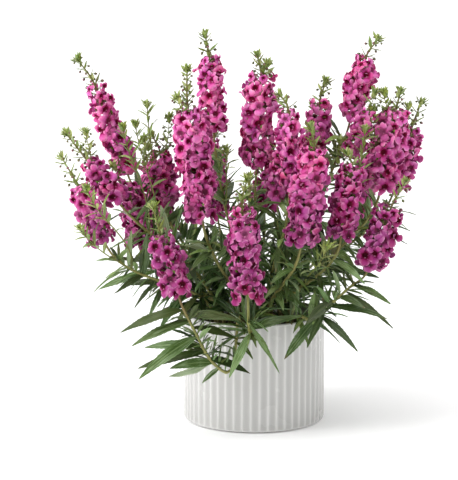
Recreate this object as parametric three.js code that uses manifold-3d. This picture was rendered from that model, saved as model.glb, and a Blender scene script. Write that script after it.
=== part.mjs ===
// A potted angelonia: upright leafy stems that end in spikes of pink flowers, in a white fluted pot.
// Millimetres, +Z up. The origin is the centre of the pot's underside, and the viewer looks along +Y.
import * as THREE from "three";
import { mergeVertices } from "three/addons/utils/BufferGeometryUtils.js";
import Module from "manifold-3d";

// Pot
const POT_RADIUS = 95;
const POT_HEIGHT = 146;
const POT_WALL = 5.5;
const POT_FLOOR = 7;
const FLUTES = 52;
const FIRST_RIDGE_TURN = -93.1;
const RIDGE_SHARE = 0.24;
const CHANNEL_DEPTH = 1;
const CAVITY_RADIUS = POT_RADIUS - POT_WALL;
const CAVITY_SIDES = 52;

// Potting mix
const SOIL_TOP = 128;
const SOIL_SIDES = 24;
const FIT_GAP = 0.3;
const PLANTING_DEPTH = 22;
const HOLE_SIDES = 5;

// Stems
const STEM_FOOT_RADIUS = 2.4;
const STEM_SPIKE_RADIUS = 1.5;
const STEM_END_RADIUS = 0.8;
const STEM_STEP = 34;
const SPINE_STEPS = 48;
const CROWN_STEPS = 5;
const STEM_TURN = 137.5;
const STRAIGHT_FOOT = 5;
const FOOT_SPREAD = 0.27;
const FOOT_LIMIT = 66;
const FIRST_NODE = 22;
const NODE_SPACING = 26;
const LAST_NODE = 14;
const NODE_GAP = 11;
const NODE_HEIGHT = 3.2;

// Leaves
const LEAF_RIB = 0.65;
const LEAF_FOLD = 0.16;
const LEAF_STATIONS = [0.3, 0.68];
const LEAF_WIDTHS = [0.92, 0.84];
const SMALL_LEAF = 64;
const SMALL_LEAF_STATIONS = [0.42];
const SMALL_LEAF_WIDTHS = [1];
const LEAF_SLENDERNESS = 0.17;
const LEAF_WIDTH_MOST = 15;
const LOWEST_LEAF = 76;
const HIGHEST_LEAF = 46;
const OPPOSITE_LEAF = 62;
const LOWEST_LIFT = -0.1;
const HIGHEST_LIFT = 0.2;

// How freely a leaf is drawn, as shares of its length or in degrees
const LEAF_TRIES = 16;
const LENGTH_RANGE = [0.8, 1.15];
const FORWARD_RANGE = [0, 0.8];
const LIFT_RANGE = [-0.4, 0.4];
const SIDE_RANGE = [-0.7, 0.7];
const ARCH_RANGE = [0.08, 0.22];
const ROLL_RANGE = [-40, 40];
const LEAF_SPREAD = 0.56;
const FIRST_SHARE = 0.35;

// Side shoots
const SHOOT_RADIUS = 1.2;
const SHOOT_END_RADIUS = 0.7;
const SHOOT_NODES = [0.46, 0.7, 0.88];
const SHOOT_LEAVES = [32, 27, 20];
const SHOOT_LIFT = 0.4;
const SHOOT_FORWARD = 0.5;
const SHOOT_NODE_HEIGHT = 2.1;
const SHOOT_FIRST_RING = 6;
const SHOOT_BARE_SHARE = 0.22;

// Bud zone above the flowers
const BUD_ROWS = 2;
const BUD_RADIUS = 2.1;
const BUD_REACH = 8;
const BUD_NODE_HEIGHT = 2;
const BUD_OUT = 0.6 * BUD_REACH;
const BUD_RISE = 0.45 * BUD_REACH;
const BUD_TIP = 0.5 * BUD_REACH;
const BUD_TILT = 0.8;
const BUD_ZONE_START = 0.6;

// Flower spikes
const ROW_SHARE = 0.9;
const ROWS_LEAST = 3;
const SPIKE_END_GAP = 1;
const ROW_TWIST = 7;
const BORE_RADIUS = STEM_SPIKE_RADIUS + 0.5;
const CORE_RADIUS = 3.7;
const LOBE_ANGLES = [55, 125, 200, 270, 340];
const NOTCH_ANGLES = [90, 162, 235, 305, 378];
const NOTCH_SHARE = 0.6;
const NOTCH_DEPTH = 4;
const FLORET_REACH = 0.82;
const FLORET_WIDTH = 0.66;
const FLORET_HEIGHT = 0.78;
const FLORET_GAP = 1;
const FLORET_DROP = 2;
const THROAT_SHARE = 0.45;
const TOP_SCALES = [0.7, 0.86];

// Space kept round what has grown already
const STEM_GUARD = 1.4;
const BUD_GUARD = 9;
const SPIKE_GUARD = 1.5;
const LEAF_GUARD = 2.8;
const LEAF_GUARD_START = 6;
const OWNER_RANGE = 18;
const BEAD_STEP = 5;
const SHOOT_FIRST_BEAD = 3;
const LEAF_GUARD_STEPS = 11;
const POT_GUARD = 3;

const SEED = 20;

// Each stem: the lowest flowers, the highest flowers, its tip above them, and the spike's radius.
const STEMS = [
  { low: [-170, 25, 327], high: [-213, 22, 449], tip: [-237, 18, 486], radius: 19 },
  { low: [-179, -60, 304], high: [-218, -55, 356], tip: [-248, -50, 394], radius: 18 },
  { low: [-192, -118, 257], high: [-226, -112, 330], tip: [-249, -105, 369], radius: 20 },
  { low: [-152, -15, 231], high: [-167, -15, 284], tip: [-165, -12, 299], radius: 17 },
  { low: [-122, 55, 284], high: [-128, 52, 356], tip: [-139, 48, 380], radius: 20 },
  { low: [-68, -85, 281], high: [-87, -82, 429], tip: [-88, -75, 480], radius: 24 },
  { low: [-54, -10, 386], high: [-60, -10, 489], tip: [-66, -8, 520], radius: 20 },
  { low: [2, -32, 341], high: [8, -34, 467], tip: [2, -30, 495], radius: 25 },
  { low: [44, -84, 324], high: [42, -78, 428], tip: [30, -66, 446], radius: 17 },
  { low: [84, 5, 362], high: [87, 5, 430], tip: [96, 5, 458], radius: 19 },
  { low: [58, -120, 255], high: [74, -116, 381], tip: [69, -105, 410], radius: 24 },
  {
    low: [-97, -155, 194], high: [-120, -150, 273], tip: [-131, -140, 311], radius: 21,
    foot: [-20, -64], via: [[-22, -101, 156], [-31, -124, 94], [-56, -138, 108], [-80, -150, 155]],
  },
  {
    low: [-10, -165, 190], high: [-18, -163, 311], tip: [-11, -150, 347], radius: 22,
    foot: [0, -50], via: [[-2, -100, 155], [-5, -124, 141], [-9, -148, 156]],
  },
  { low: [128, 10, 404], high: [148, 10, 488], tip: [165, 10, 513], radius: 20 },
  { low: [166, -25, 312], high: [186, -25, 422], tip: [192, -25, 447], radius: 24 },
  { low: [190, 35, 306], high: [213, 32, 393], tip: [225, 25, 428], radius: 20 },
  { low: [110, -95, 256], high: [124, -95, 355], tip: [117, -88, 373], radius: 21 },
  {
    low: [145, -95, 217], high: [175, -92, 300], tip: [195, -80, 334], radius: 22,
    foot: [42, -52], via: [[57, -82, 156], [76, -101, 154], [101, -109, 180], [120, -106, 197]],
  },
  { low: [15, 85, 269], high: [12, 85, 325], tip: [11, 80, 356], radius: 18 },
  { low: [-50, 152, 252], high: [-62, 150, 362], tip: [-66, 138, 402], radius: 21 },
  { low: [72, 148, 268], high: [82, 148, 375], tip: [84, 138, 412], radius: 21 },
  { low: [147, 110, 268], high: [176, 105, 367], tip: [182, 92, 405], radius: 21 },
  { low: [-117, 120, 231], high: [-147, 115, 331], tip: [-152, 102, 370], radius: 20 },
];

// The leaves that give the plant its outline: stem, height on it, tip, width, turn to the viewer, arch.
const NAMED_LEAVES = [
  [3, 200, [-139, -97, 156], 9, 40, 3],
  [3, 213, [-179, -126, 195], 9, 40, 5],
  [4, 203, [-209, -32, 181], 14, 40, 8],
  [4, 214, [-200, -52, 226], 8, 30, 6],
  [12, 98, [-69, -144, 80], 9, 30, 2],
  [12, 106, [-110, -162, 104], 14, 60, 6],
  [12, 113, [-6, -132, 90], 14, 50, 5],
  [12, 121, [-152, -146, 100], 14, 50, 6],
  [12, 129, [-144, -116, 121], 14, 45, 6],
  [12, 143, [-149, -172, 92], 17, 55, 9],
  [12, 155, [-22, -142, 137], 14, 40, 6],
  [12, 163, [-158, -168, 134], 14, 45, 8],
  [12, 171, [-16, -140, 160], 15, 45, 8],
  [12, 179, [-172, -170, 152], 15, 45, 8],
  [13, 144, [-34, -160, 91], 13, 30, 3],
  [13, 151, [61, -132, 166], 14, 45, 5],
  [13, 160, [31, -144, 93], 14, 35, 4],
  [15, 205, [166, -48, 200], 15, 40, 10],
  [18, 156, [37, -128, 108], 15, 40, 4],
  [18, 161, [131, -146, 122], 11, 40, 8],
  [18, 167, [66, -126, 122], 12, 20, 3],
  [18, 174, [170, -135, 162], 13, 40, 9],
  [18, 181, [64, -122, 152], 16, 50, 6],
  [18, 187, [140, -137, 177], 10, 40, 5],
  [18, 194, [178, -128, 148], 9, 40, 5],
  [18, 201, [175, -116, 178], 11, 40, 7],
];

// The green shoots without flowers that show between the spikes: stem, height on it, tip.
const NAMED_SHOOTS = [
  [1, 285, [-143, 5, 427]],
  [2, 250, [-158, -16, 403]],
  [2, 262, [-174, -30, 400]],
  [3, 222, [-213, -160, 337]],
  [3, 234, [-221, -150, 283]],
  [7, 290, [-38, -50, 373]],
  [8, 270, [-8, -85, 342]],
  [15, 262, [143, -60, 401]],
  [17, 196, [92, -135, 259]],
];

const UP = new THREE.Vector3(0, 0, 1);
const radians = THREE.MathUtils.degToRad;
const vector = (list) => new THREE.Vector3(...list);
const mix = (from, to, share) => from + (to - from) * share;
const level = (degrees) => new THREE.Vector3(Math.cos(radians(degrees)), Math.sin(radians(degrees)), 0);
const bearing = (way) => THREE.MathUtils.radToDeg(Math.atan2(way.y, way.x));

// A small seeded generator, so that the plant grows the same way each time.
function seeded(seed) {
  let state = seed >>> 0;
  return (from, to) => {
    state = (state + 0x6d2b79f5) >>> 0;
    let value = Math.imul(state ^ (state >>> 15), state | 1);
    value ^= value + Math.imul(value ^ (value >>> 7), value | 61);
    return mix(from, to, ((value ^ (value >>> 14)) >>> 0) / 4294967296);
  };
}

// Two ways square to a stem: the first as near as can be to a level bearing, the second a quarter turn on.
function crossWays(along, turn) {
  const first = level(turn);
  first.addScaledVector(along, -first.dot(along)).normalize();
  return [first, along.clone().cross(first)];
}

// Four corners round a place on a stem. Face k looks along k quarter turns, from corner k - 1 to corner k.
function cornersRound(place, along, turn, radius) {
  const [first, second] = crossWays(along, turn);
  return [45, 135, 225, 315].map((angle) =>
    place.clone()
      .addScaledVector(first, radius * Math.cos(radians(angle)))
      .addScaledVector(second, radius * Math.sin(radians(angle))),
  );
}

function faceWay(along, turn, face) {
  const [first, second] = crossWays(along, turn);
  return (face % 2 === 0 ? first : second).multiplyScalar(face % 4 < 2 ? 1 : -1);
}

// Which of the four faces looks most nearly one way.
function nearestFace(along, turn, way) {
  const score = (face) => faceWay(along, turn, face).dot(way);
  return [0, 1, 2, 3].reduce((best, face) => (score(face) > score(best) ? face : best));
}

// A curve through points that leaves the first one way and reaches the last another way.
function curveThrough(points, startWay, endWay) {
  const last = points.length - 1;
  const tangents = points.map((point, k) => {
    if (k === 0) return startWay.clone().multiplyScalar(point.distanceTo(points[1]));
    if (k === last) return endWay.clone().multiplyScalar(point.distanceTo(points[k - 1]));
    return points[k + 1].clone().sub(points[k - 1]).multiplyScalar(0.5);
  });
  return (share) => {
    const k = Math.min(Math.floor(share * last), last - 1);
    const t = share * last - k;
    return new THREE.Vector3()
      .addScaledVector(points[k], 2 * t ** 3 - 3 * t ** 2 + 1)
      .addScaledVector(tangents[k], t ** 3 - 2 * t ** 2 + t)
      .addScaledVector(points[k + 1], -2 * t ** 3 + 3 * t ** 2)
      .addScaledVector(tangents[k + 1], t ** 3 - t ** 2);
  };
}

// A stem's centre line, from its end in the soil to its tip, measured by length along it.
class Spine {
  constructor(stem) {
    const low = vector(stem.low);
    const high = vector(stem.high);
    const tip = vector(stem.tip);
    const spikeWay = high.clone().sub(low).normalize();
    const spread = Math.min(FOOT_SPREAD, FOOT_LIMIT / Math.hypot(low.x, low.y));
    const [x, y] = stem.foot ?? [low.x * spread, low.y * spread];
    const foot = new THREE.Vector3(x, y, SOIL_TOP + STRAIGHT_FOOT);
    const rise = curveThrough([foot, ...(stem.via ?? []).map(vector), low], UP, spikeWay);
    const crown = curveThrough([high, tip], spikeWay, tip.clone().sub(high).normalize());
    this.places = [new THREE.Vector3(x, y, SOIL_TOP - PLANTING_DEPTH + FIT_GAP), foot];
    for (let k = 1; k <= SPINE_STEPS; k++) this.places.push(rise(k / SPINE_STEPS));
    const lowest = this.places.length - 1;
    this.places.push(high);
    for (let k = 1; k <= CROWN_STEPS; k++) this.places.push(crown(k / CROWN_STEPS));
    this.lengths = [0];
    this.places.slice(1).forEach((place, k) => {
      this.lengths.push(this.lengths[k] + place.distanceTo(this.places[k]));
    });
    this.foot = this.lengths[1];
    this.low = this.lengths[lowest];
    this.high = this.lengths[lowest + 1];
    this.end = this.lengths.at(-1);
  }

  at(length) {
    let k = 1;
    while (k < this.lengths.length - 1 && this.lengths[k] < length) k++;
    const share = (length - this.lengths[k - 1]) / (this.lengths[k] - this.lengths[k - 1]);
    return this.places[k - 1].clone().lerp(this.places[k], share);
  }

  way(length) {
    const before = this.at(Math.max(0, length - 1));
    return this.at(Math.min(this.end, length + 1)).sub(before).normalize();
  }

  radius(length) {
    if (length < this.low) return mix(STEM_FOOT_RADIUS, STEM_SPIKE_RADIUS, length / this.low);
    const crown = Math.max(0, length - this.high) / (this.end - this.high);
    return mix(STEM_SPIKE_RADIUS, STEM_END_RADIUS, crown);
  }

  // The length at which the stem last passes a height on its way up.
  lengthAtHeight(height) {
    let k = this.places.length - 1;
    while (k > 1 && this.places[k - 1].z > height) k--;
    const share = (height - this.places[k - 1].z) / (this.places[k].z - this.places[k - 1].z);
    return mix(this.lengths[k - 1], this.lengths[k], share);
  }
}

// Everything grown so far, as beads and rods that a new leaf has to keep clear of.
class Guard {
  constructor() {
    this.beads = [];
    this.rods = [];
  }

  addBeads(beads, owner = null) {
    beads.forEach((bead) => this.beads.push({ ...bead, owner }));
  }

  addRod(from, to, radius) {
    this.rods.push({ line: new THREE.Line3(from, to), radius });
  }

  touchesPot({ place, radius }) {
    const across = Math.hypot(place.x, place.y);
    const room = POT_GUARD + radius;
    const outside = across > POT_RADIUS + room || place.z > POT_HEIGHT + room;
    const inside = across < CAVITY_RADIUS - room && place.z > SOIL_TOP + room;
    return !outside && !inside;
  }

  // Whether a leaf is free of the pot and of all that has grown, but for its owner round the leaf's start.
  isClear(leaf, owner) {
    const others = this.beads.filter((bead) =>
      bead.owner !== owner || bead.place.distanceTo(leaf.start) > OWNER_RANGE);
    const nearest = new THREE.Vector3();
    return leaf.beads().every((bead) => {
      if (this.touchesPot(bead)) return false;
      const touches = (other) => other.place.distanceTo(bead.place) < other.radius + bead.radius;
      if (others.some(touches)) return false;
      return this.rods.every((rod) => {
        rod.line.closestPointToPoint(bead.place, true, nearest);
        return nearest.distanceTo(bead.place) > rod.radius + bead.radius;
      });
    });
  }
}

// A leaf from its start on the stem to its tip, arched upwards, with its top face rolled to one side.
class Leaf {
  constructor({ start, tip, width, arch, roll }) {
    const chord = tip.clone().sub(start);
    this.start = start;
    this.bend = start.clone().lerp(tip, 0.5).addScaledVector(UP, arch);
    this.tip = tip;
    this.length = chord.length();
    this.halfWidth = width / 2;
    const flat = level(bearing(chord) + 90);
    const above = chord.clone().normalize().cross(flat);
    this.side = flat.multiplyScalar(Math.cos(radians(roll)));
    this.side.addScaledVector(above, Math.sin(radians(roll)));
  }

  at(share) {
    const first = this.start.clone().lerp(this.bend, share);
    return first.lerp(this.bend.clone().lerp(this.tip, share), share);
  }

  firstWay() {
    return this.at(FIRST_SHARE).sub(this.start).normalize();
  }

  top(share) {
    const along = this.at(share + 0.01).sub(this.at(share - 0.01));
    return along.cross(this.side).normalize();
  }

  widthAt(share) {
    return this.halfWidth * Math.sin(Math.PI * share ** 0.8) ** 0.8;
  }

  beads() {
    const beads = [];
    const first = Math.min(0.6, LEAF_GUARD_START / this.length);
    for (let k = 0; k < LEAF_GUARD_STEPS; k++) {
      const share = mix(first, 1, k / (LEAF_GUARD_STEPS - 1));
      const centre = this.at(share);
      const reach = share < 1 ? this.widthAt(share) - 1.5 : 0;
      beads.push({ place: centre, radius: LEAF_GUARD });
      if (reach < 2) continue;
      beads.push({ place: centre.clone().addScaledVector(this.side, reach), radius: LEAF_GUARD });
      beads.push({ place: centre.clone().addScaledVector(this.side, -reach), radius: LEAF_GUARD });
    }
    return beads;
  }
}

// A leaf drawn by rule, outwards and forwards from a face, and drawn again until it has free space.
function drawLeaf(draw, guard, owner, { start, along, outwards, length, lift }) {
  const sideways = along.clone().cross(outwards);
  for (let attempt = 0; attempt < LEAF_TRIES; attempt++) {
    const reach = length * draw(...LENGTH_RANGE);
    const way = outwards.clone().addScaledVector(along, draw(...FORWARD_RANGE));
    way.addScaledVector(UP, lift + draw(...LIFT_RANGE)).addScaledVector(sideways, draw(...SIDE_RANGE));
    const tip = start.clone().addScaledVector(way.normalize(), reach);
    const width = Math.min(LEAF_WIDTH_MOST, reach * LEAF_SLENDERNESS);
    const arch = reach * draw(...ARCH_RANGE);
    const leaf = new Leaf({ start, tip, width, arch, roll: draw(...ROLL_RANGE) });
    if (leaf.firstWay().dot(outwards) < LEAF_SPREAD || !guard.isClear(leaf, owner)) continue;
    guard.addBeads(leaf.beads());
    return leaf;
  }
  return null;
}

// A green shoot that leaves its stem's face outwards and turns up to its tip.
class Shoot {
  constructor(start, along, outwards, tip) {
    const chord = tip.clone().sub(start);
    const firstWay = outwards.clone().addScaledVector(along, SHOOT_FORWARD).normalize();
    this.tip = tip;
    this.length = chord.length();
    this.turn = bearing(chord) + 90;
    this.at = curveThrough([start, tip], firstWay, chord.normalize().add(UP).normalize());
    this.nodes = [];
  }

  way(share) {
    return this.at(Math.min(1, share + 0.01)).sub(this.at(Math.max(0, share - 0.01))).normalize();
  }

  beads() {
    const steps = Math.ceil(this.length / BEAD_STEP);
    const radius = SHOOT_RADIUS + STEM_GUARD;
    const beads = [];
    for (let k = SHOOT_FIRST_BEAD; k <= steps; k++) beads.push({ place: this.at(k / steps), radius });
    return beads;
  }
}

// Where every stem, leaf and shoot is, before any of it has a surface.
function growPlant() {
  const guard = new Guard();
  const draw = seeded(SEED);
  const plants = STEMS.map((stem, number) => {
    const spine = new Spine(stem);
    for (let length = spine.foot; length < spine.high; length += BEAD_STEP) {
      guard.addBeads([{ place: spine.at(length), radius: spine.radius(length) + STEM_GUARD }], spine);
    }
    guard.addRod(vector(stem.low), vector(stem.high), stem.radius + SPIKE_GUARD);
    guard.addRod(vector(stem.high), vector(stem.tip), BUD_GUARD);
    return { number: number + 1, spine, radius: stem.radius, turn: (number * STEM_TURN) % 360, nodes: [] };
  });
  const drawOn = (owner, place, turn, face, length, lift) => {
    const start = owner.at(place);
    const along = owner.way(place);
    const outwards = faceWay(along, turn, face);
    return drawLeaf(draw, guard, owner, { start, along, outwards, length, lift });
  };

  NAMED_LEAVES.forEach(([number, height, tip, width, lean, arch]) => {
    const { spine, turn, nodes } = plants[number - 1];
    const length = spine.lengthAtHeight(height);
    const start = spine.at(length);
    const roll = lean * Math.sign(tip[0] - start.x);
    const leaf = new Leaf({ start, tip: vector(tip), width, arch, roll });
    guard.addBeads(leaf.beads());
    nodes.push({ length, face: nearestFace(spine.way(length), turn, leaf.firstWay()), pieces: [leaf] });
  });

  NAMED_SHOOTS.forEach(([number, height, tip]) => {
    const { spine, turn, nodes } = plants[number - 1];
    const length = spine.lengthAtHeight(height);
    const start = spine.at(length);
    const along = spine.way(length);
    const face = nearestFace(along, turn, vector(tip).sub(start));
    const shoot = new Shoot(start, along, faceWay(along, turn, face), vector(tip));
    guard.addBeads(shoot.beads(), shoot);
    nodes.push({ length, face, pieces: [shoot] });
    shoot.nodes = SHOOT_NODES.map((share, k) => {
      const drawSide = (side) => drawOn(shoot, share, shoot.turn, side, SHOOT_LEAVES[k], SHOOT_LIFT);
      return { share, face: k, pieces: [drawSide(k), drawSide(k + 2)] };
    });
  });

  plants.forEach(({ spine, turn, nodes }) => {
    const isCrowded = (length) =>
      nodes.some((node) => node.length !== length && Math.abs(node.length - length) < NODE_GAP);
    nodes.filter((node) => !isCrowded(node.length)).forEach(({ length, face, pieces }) => {
      pieces.push(drawOn(spine, length, turn, face + 2, OPPOSITE_LEAF, 0));
    });
    let face = 0;
    for (let length = spine.foot + FIRST_NODE; length < spine.low - LAST_NODE; length += NODE_SPACING) {
      face = (face + 1) % 4;
      if (isCrowded(length)) continue;
      const share = (length - spine.foot) / (spine.low - spine.foot);
      const leafLength = mix(LOWEST_LEAF, HIGHEST_LEAF, share);
      const lift = mix(LOWEST_LIFT, HIGHEST_LIFT, share);
      const pieces = [face, face + 2].map((side) => drawOn(spine, length, turn, side, leafLength, lift));
      nodes.push({ length, face, pieces });
    }
    nodes.sort((a, b) => a.length - b.length);
  });
  return plants;
}

// A closed skin of triangles that grows ring by ring.
class Skin {
  constructor() {
    this.places = [];
    this.faces = [];
  }

  point(place) {
    this.places.push(place.clone());
    return this.places.length - 1;
  }

  ring(places) {
    return places.map((place) => this.point(place));
  }

  triangle(a, b, c) {
    this.faces.push(a, b, c);
  }

  // Two triangles that share the edge from a to c.
  quad(a, b, c, d) {
    this.triangle(a, b, c);
    this.triangle(a, c, d);
  }

  // Two triangles that fold outwards along the edge they share.
  fold(a, b, c, d) {
    const [first, second, third, fourth] = [a, b, c, d].map((corner) => this.places[corner]);
    const facing = second.clone().sub(first).cross(third.clone().sub(first));
    if (facing.dot(fourth.clone().sub(first)) < 0) this.quad(a, b, c, d);
    else this.quad(b, c, d, a);
  }

  // Joins two rings of four, with the second one turned to where its corners lie nearest to the first's.
  join(lower, upper) {
    const stretch = (turn) =>
      lower.reduce((sum, corner, k) => {
        return sum + this.places[corner].distanceTo(this.places[upper[(k + turn) % 4]]);
      }, 0);
    const turn = [0, 1, 2, 3].reduce((best, next) => (stretch(next) < stretch(best) ? next : best));
    lower.forEach((corner, k) => {
      const next = (k + 1) % 4;
      this.fold(corner, lower[next], upper[(next + turn) % 4], upper[(k + turn) % 4]);
    });
  }

  fan(ring, end) {
    ring.forEach((corner, k) => this.triangle(corner, ring[(k + 1) % ring.length], end));
  }

  centre(ring) {
    const sum = ring.reduce((total, corner) => total.add(this.places[corner]), new THREE.Vector3());
    return sum.divideScalar(ring.length);
  }

  mesh(name, material) {
    const geometry = new THREE.BufferGeometry().setFromPoints(this.places);
    geometry.setIndex(this.faces);
    geometry.computeVertexNormals();
    const mesh = new THREE.Mesh(geometry, material);
    mesh.name = name;
    return mesh;
  }
}

// A blade of diamond section: its two faces are split alike along the rib, so they never cross.
function skinLeaf(skin, base, leaf) {
  const small = leaf.length < SMALL_LEAF;
  const stations = small ? SMALL_LEAF_STATIONS : LEAF_STATIONS;
  const widths = small ? SMALL_LEAF_WIDTHS : LEAF_WIDTHS;
  let last = null;
  stations.forEach((share, k) => {
    const centre = leaf.at(share);
    const top = leaf.top(share);
    const reach = leaf.halfWidth * widths[k];
    const edge = (sign) =>
      centre.clone().addScaledVector(leaf.side, sign * reach).addScaledVector(top, reach * LEAF_FOLD);
    const rib = (sign) => centre.clone().addScaledVector(top, sign * LEAF_RIB);
    const ring = skin.ring([rib(-1), edge(1), rib(1), edge(-1)]);
    if (last === null) {
      skin.join(base, ring);
    } else {
      const [below, right, above, left] = last;
      const [nextBelow, nextRight, nextAbove, nextLeft] = ring;
      skin.quad(below, right, nextRight, nextBelow);
      skin.quad(above, nextAbove, nextRight, right);
      skin.quad(above, left, nextLeft, nextAbove);
      skin.quad(below, nextBelow, nextLeft, left);
    }
    last = ring;
  });
  skin.fan(last, skin.point(leaf.tip));
}

function skinBud(skin, base, outwards, along) {
  const root = skin.centre(base);
  const centre = root.clone().addScaledVector(outwards, BUD_OUT).addScaledVector(along, BUD_RISE);
  const way = outwards.clone().addScaledVector(along, BUD_TILT).normalize();
  const ring = skin.ring(cornersRound(centre, way, bearing(outwards) + 90, BUD_RADIUS));
  skin.join(base, ring);
  skin.fan(ring, skin.point(centre.addScaledVector(way, BUD_TIP)));
}

// A tube of four sides through stations, with pieces sprouting from faces between a pair of them.
function skinTube(skin, ring, stations, sprouts) {
  let last = ring;
  stations.forEach((station, k) => {
    const next = skin.ring(station.corners);
    if (k === 0 && !station.aligned) {
      skin.join(last, next);
    } else {
      for (let face = 0; face < 4; face++) {
        const before = (face + 3) % 4;
        const patch = [last[before], last[face], next[face], next[before]];
        const sprout = sprouts.find((one) => one.station === k && one.face === face);
        if (sprout) sprout.grow(patch);
        else skin.quad(...patch);
      }
    }
    last = next;
  });
  return last;
}

function skinShoot(skin, base, shoot) {
  const stations = [];
  const sprouts = [];
  const addStation = (share) => {
    const radius = mix(SHOOT_RADIUS, SHOOT_END_RADIUS, share);
    stations.push({ corners: cornersRound(shoot.at(share), shoot.way(share), shoot.turn, radius) });
  };
  addStation(SHOOT_FIRST_RING / shoot.length);
  addStation(SHOOT_BARE_SHARE);
  shoot.nodes.forEach(({ share, face, pieces }) => {
    const half = SHOOT_NODE_HEIGHT / 2 / shoot.length;
    addStation(share - half);
    addStation(share + half);
    pieces.forEach((leaf, k) => {
      if (leaf === null) return;
      const grow = (patch) => skinLeaf(skin, patch, leaf);
      sprouts.push({ station: stations.length - 1, face: (face + 2 * k) % 4, grow });
    });
  });
  const last = skinTube(skin, base, stations, sprouts);
  skin.fan(last, skin.point(shoot.tip));
}

// A leafy stem: its tube from the soil to the tip, its leaves and side shoots, and the buds near its tip.
function stemMesh(plant, material) {
  const { spine, turn, nodes } = plant;
  const skin = new Skin();
  const sprouts = [];
  const stations = [];
  let reached = 0;
  const addStation = (length) => {
    const corners = cornersRound(spine.at(length), spine.way(length), turn, spine.radius(length));
    stations.push({ corners, aligned: true });
    reached = length;
  };
  const stepTo = (length) => {
    const steps = Math.ceil((length - reached) / STEM_STEP);
    const from = reached;
    for (let k = 1; k <= steps; k++) addStation(mix(from, length, k / steps));
  };
  const addNode = (length, height, face, growths) => {
    stepTo(length - height / 2);
    addStation(length + height / 2);
    growths.forEach((growth, k) => {
      const side = (face + 2 * k) % 4;
      const along = spine.way(length);
      if (growth) sprouts.push({ station: stations.length - 1, face: side, grow: growth(along, side) });
    });
  };
  const foot = skin.ring(cornersRound(spine.at(0), UP, turn, spine.radius(0)));
  skin.quad(foot[3], foot[2], foot[1], foot[0]);
  addStation(spine.foot);
  nodes.forEach(({ length, face, pieces }) => {
    const growths = pieces.map((piece) => {
      if (piece === null) return null;
      const skinPiece = piece instanceof Shoot ? skinShoot : skinLeaf;
      return () => (patch) => skinPiece(skin, patch, piece);
    });
    addNode(length, NODE_HEIGHT, face, growths);
  });
  stepTo(spine.low);
  addStation(spine.high);
  for (let row = 0; row < BUD_ROWS; row++) {
    const share = (row + BUD_ZONE_START) / (BUD_ROWS + 1 - BUD_ZONE_START);
    const length = mix(spine.high, spine.end, share);
    const bud = (along, side) => (patch) => skinBud(skin, patch, faceWay(along, turn, side), along);
    addNode(length, BUD_NODE_HEIGHT, row, [bud, bud]);
  }
  const last = skinTube(skin, foot, stations, sprouts);
  skin.fan(last, skin.point(spine.at(spine.end)));
  return skin.mesh("stem_" + String(plant.number).padStart(2, "0"), material);
}

// A flower with five lobes: it widens from its patch of the core to a notched rim, and dips to a throat.
function skinFloret(skin, patch, { centre, outwards, along, reach, halfWidth, halfHeight }) {
  const across = along.clone().cross(outwards);
  const rimPlace = (angle, share, depth) =>
    centre.clone()
      .addScaledVector(outwards, reach - depth)
      .addScaledVector(across, halfWidth * share * Math.cos(radians(angle)))
      .addScaledVector(along, halfHeight * share * Math.sin(radians(angle)) - FLORET_DROP);
  const rim = LOBE_ANGLES.flatMap((angle, k) => [
    skin.point(rimPlace(angle, 1, 0)),
    skin.point(rimPlace(NOTCH_ANGLES[k], NOTCH_SHARE, NOTCH_DEPTH)),
  ]);
  const [lowRight, highRight, highLeft, lowLeft] = [patch[1], patch[2], patch[3], patch[0]];
  const owners = [
    highRight, highRight, highLeft, highLeft, lowLeft, lowLeft, lowLeft, lowRight, lowRight, highRight,
  ];
  owners.forEach((owner, k) => {
    const next = (k + 1) % owners.length;
    if (owners[next] !== owner) skin.triangle(owner, owners[next], rim[next]);
    skin.triangle(owner, rim[next], rim[k]);
  });
  skin.fan(rim, skin.point(rimPlace(0, 0, reach * (1 - THROAT_SHARE))));
}

// A spike: a sleeve round its stem, with rows of opposite flowers, each a quarter turn from the last.
function spikeMesh(plant, material) {
  const { spine, turn, radius } = plant;
  const skin = new Skin();
  const along = spine.way((spine.low + spine.high) / 2);
  const from = spine.low + SPIKE_END_GAP;
  const to = spine.high - SPIKE_END_GAP;
  const rows = Math.max(ROWS_LEAST, Math.round((to - from) / (ROW_SHARE * radius)));
  const pitch = (to - from) / rows;
  const corners = (length, twist, reach) => cornersRound(spine.at(length), along, turn + twist, reach);
  const bores = [from, to].map((length) => skin.ring(corners(length, 0, BORE_RADIUS)));
  const foot = skin.ring(corners(from, 0, CORE_RADIUS));
  const stations = [];
  const sprouts = [];
  for (let row = 0; row < rows; row++) {
    const top = corners(from + pitch * (row + 1), ROW_TWIST * (row + 1), CORE_RADIUS);
    stations.push({ corners: top, aligned: true });
    const scale = TOP_SCALES[rows - 1 - row] ?? 1;
    [row % 2, (row % 2) + 2].forEach((face) => {
      const outwards = faceWay(along, turn + ROW_TWIST * (row + 0.5), face);
      const floret = {
        centre: spine.at(from + pitch * (row + 0.5)),
        outwards,
        along,
        reach: radius * scale * FLORET_REACH,
        halfWidth: radius * scale * FLORET_WIDTH,
        halfHeight: Math.min(radius * scale * FLORET_HEIGHT, pitch - FLORET_GAP),
      };
      sprouts.push({ station: row, face, grow: (patch) => skinFloret(skin, patch, floret) });
    });
  }
  const head = skinTube(skin, foot, stations, sprouts);
  bores[0].forEach((corner, k) => {
    const next = (k + 1) % 4;
    skin.quad(corner, bores[1][k], bores[1][next], bores[0][next]);
    skin.quad(foot[k], bores[0][k], bores[0][next], foot[next]);
    skin.quad(head[k], head[next], bores[1][next], bores[1][k]);
  });
  return skin.mesh("spike_" + String(plant.number).padStart(2, "0"), material);
}

// Booleans
const wasm = await Module();
wasm.setup();

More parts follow.
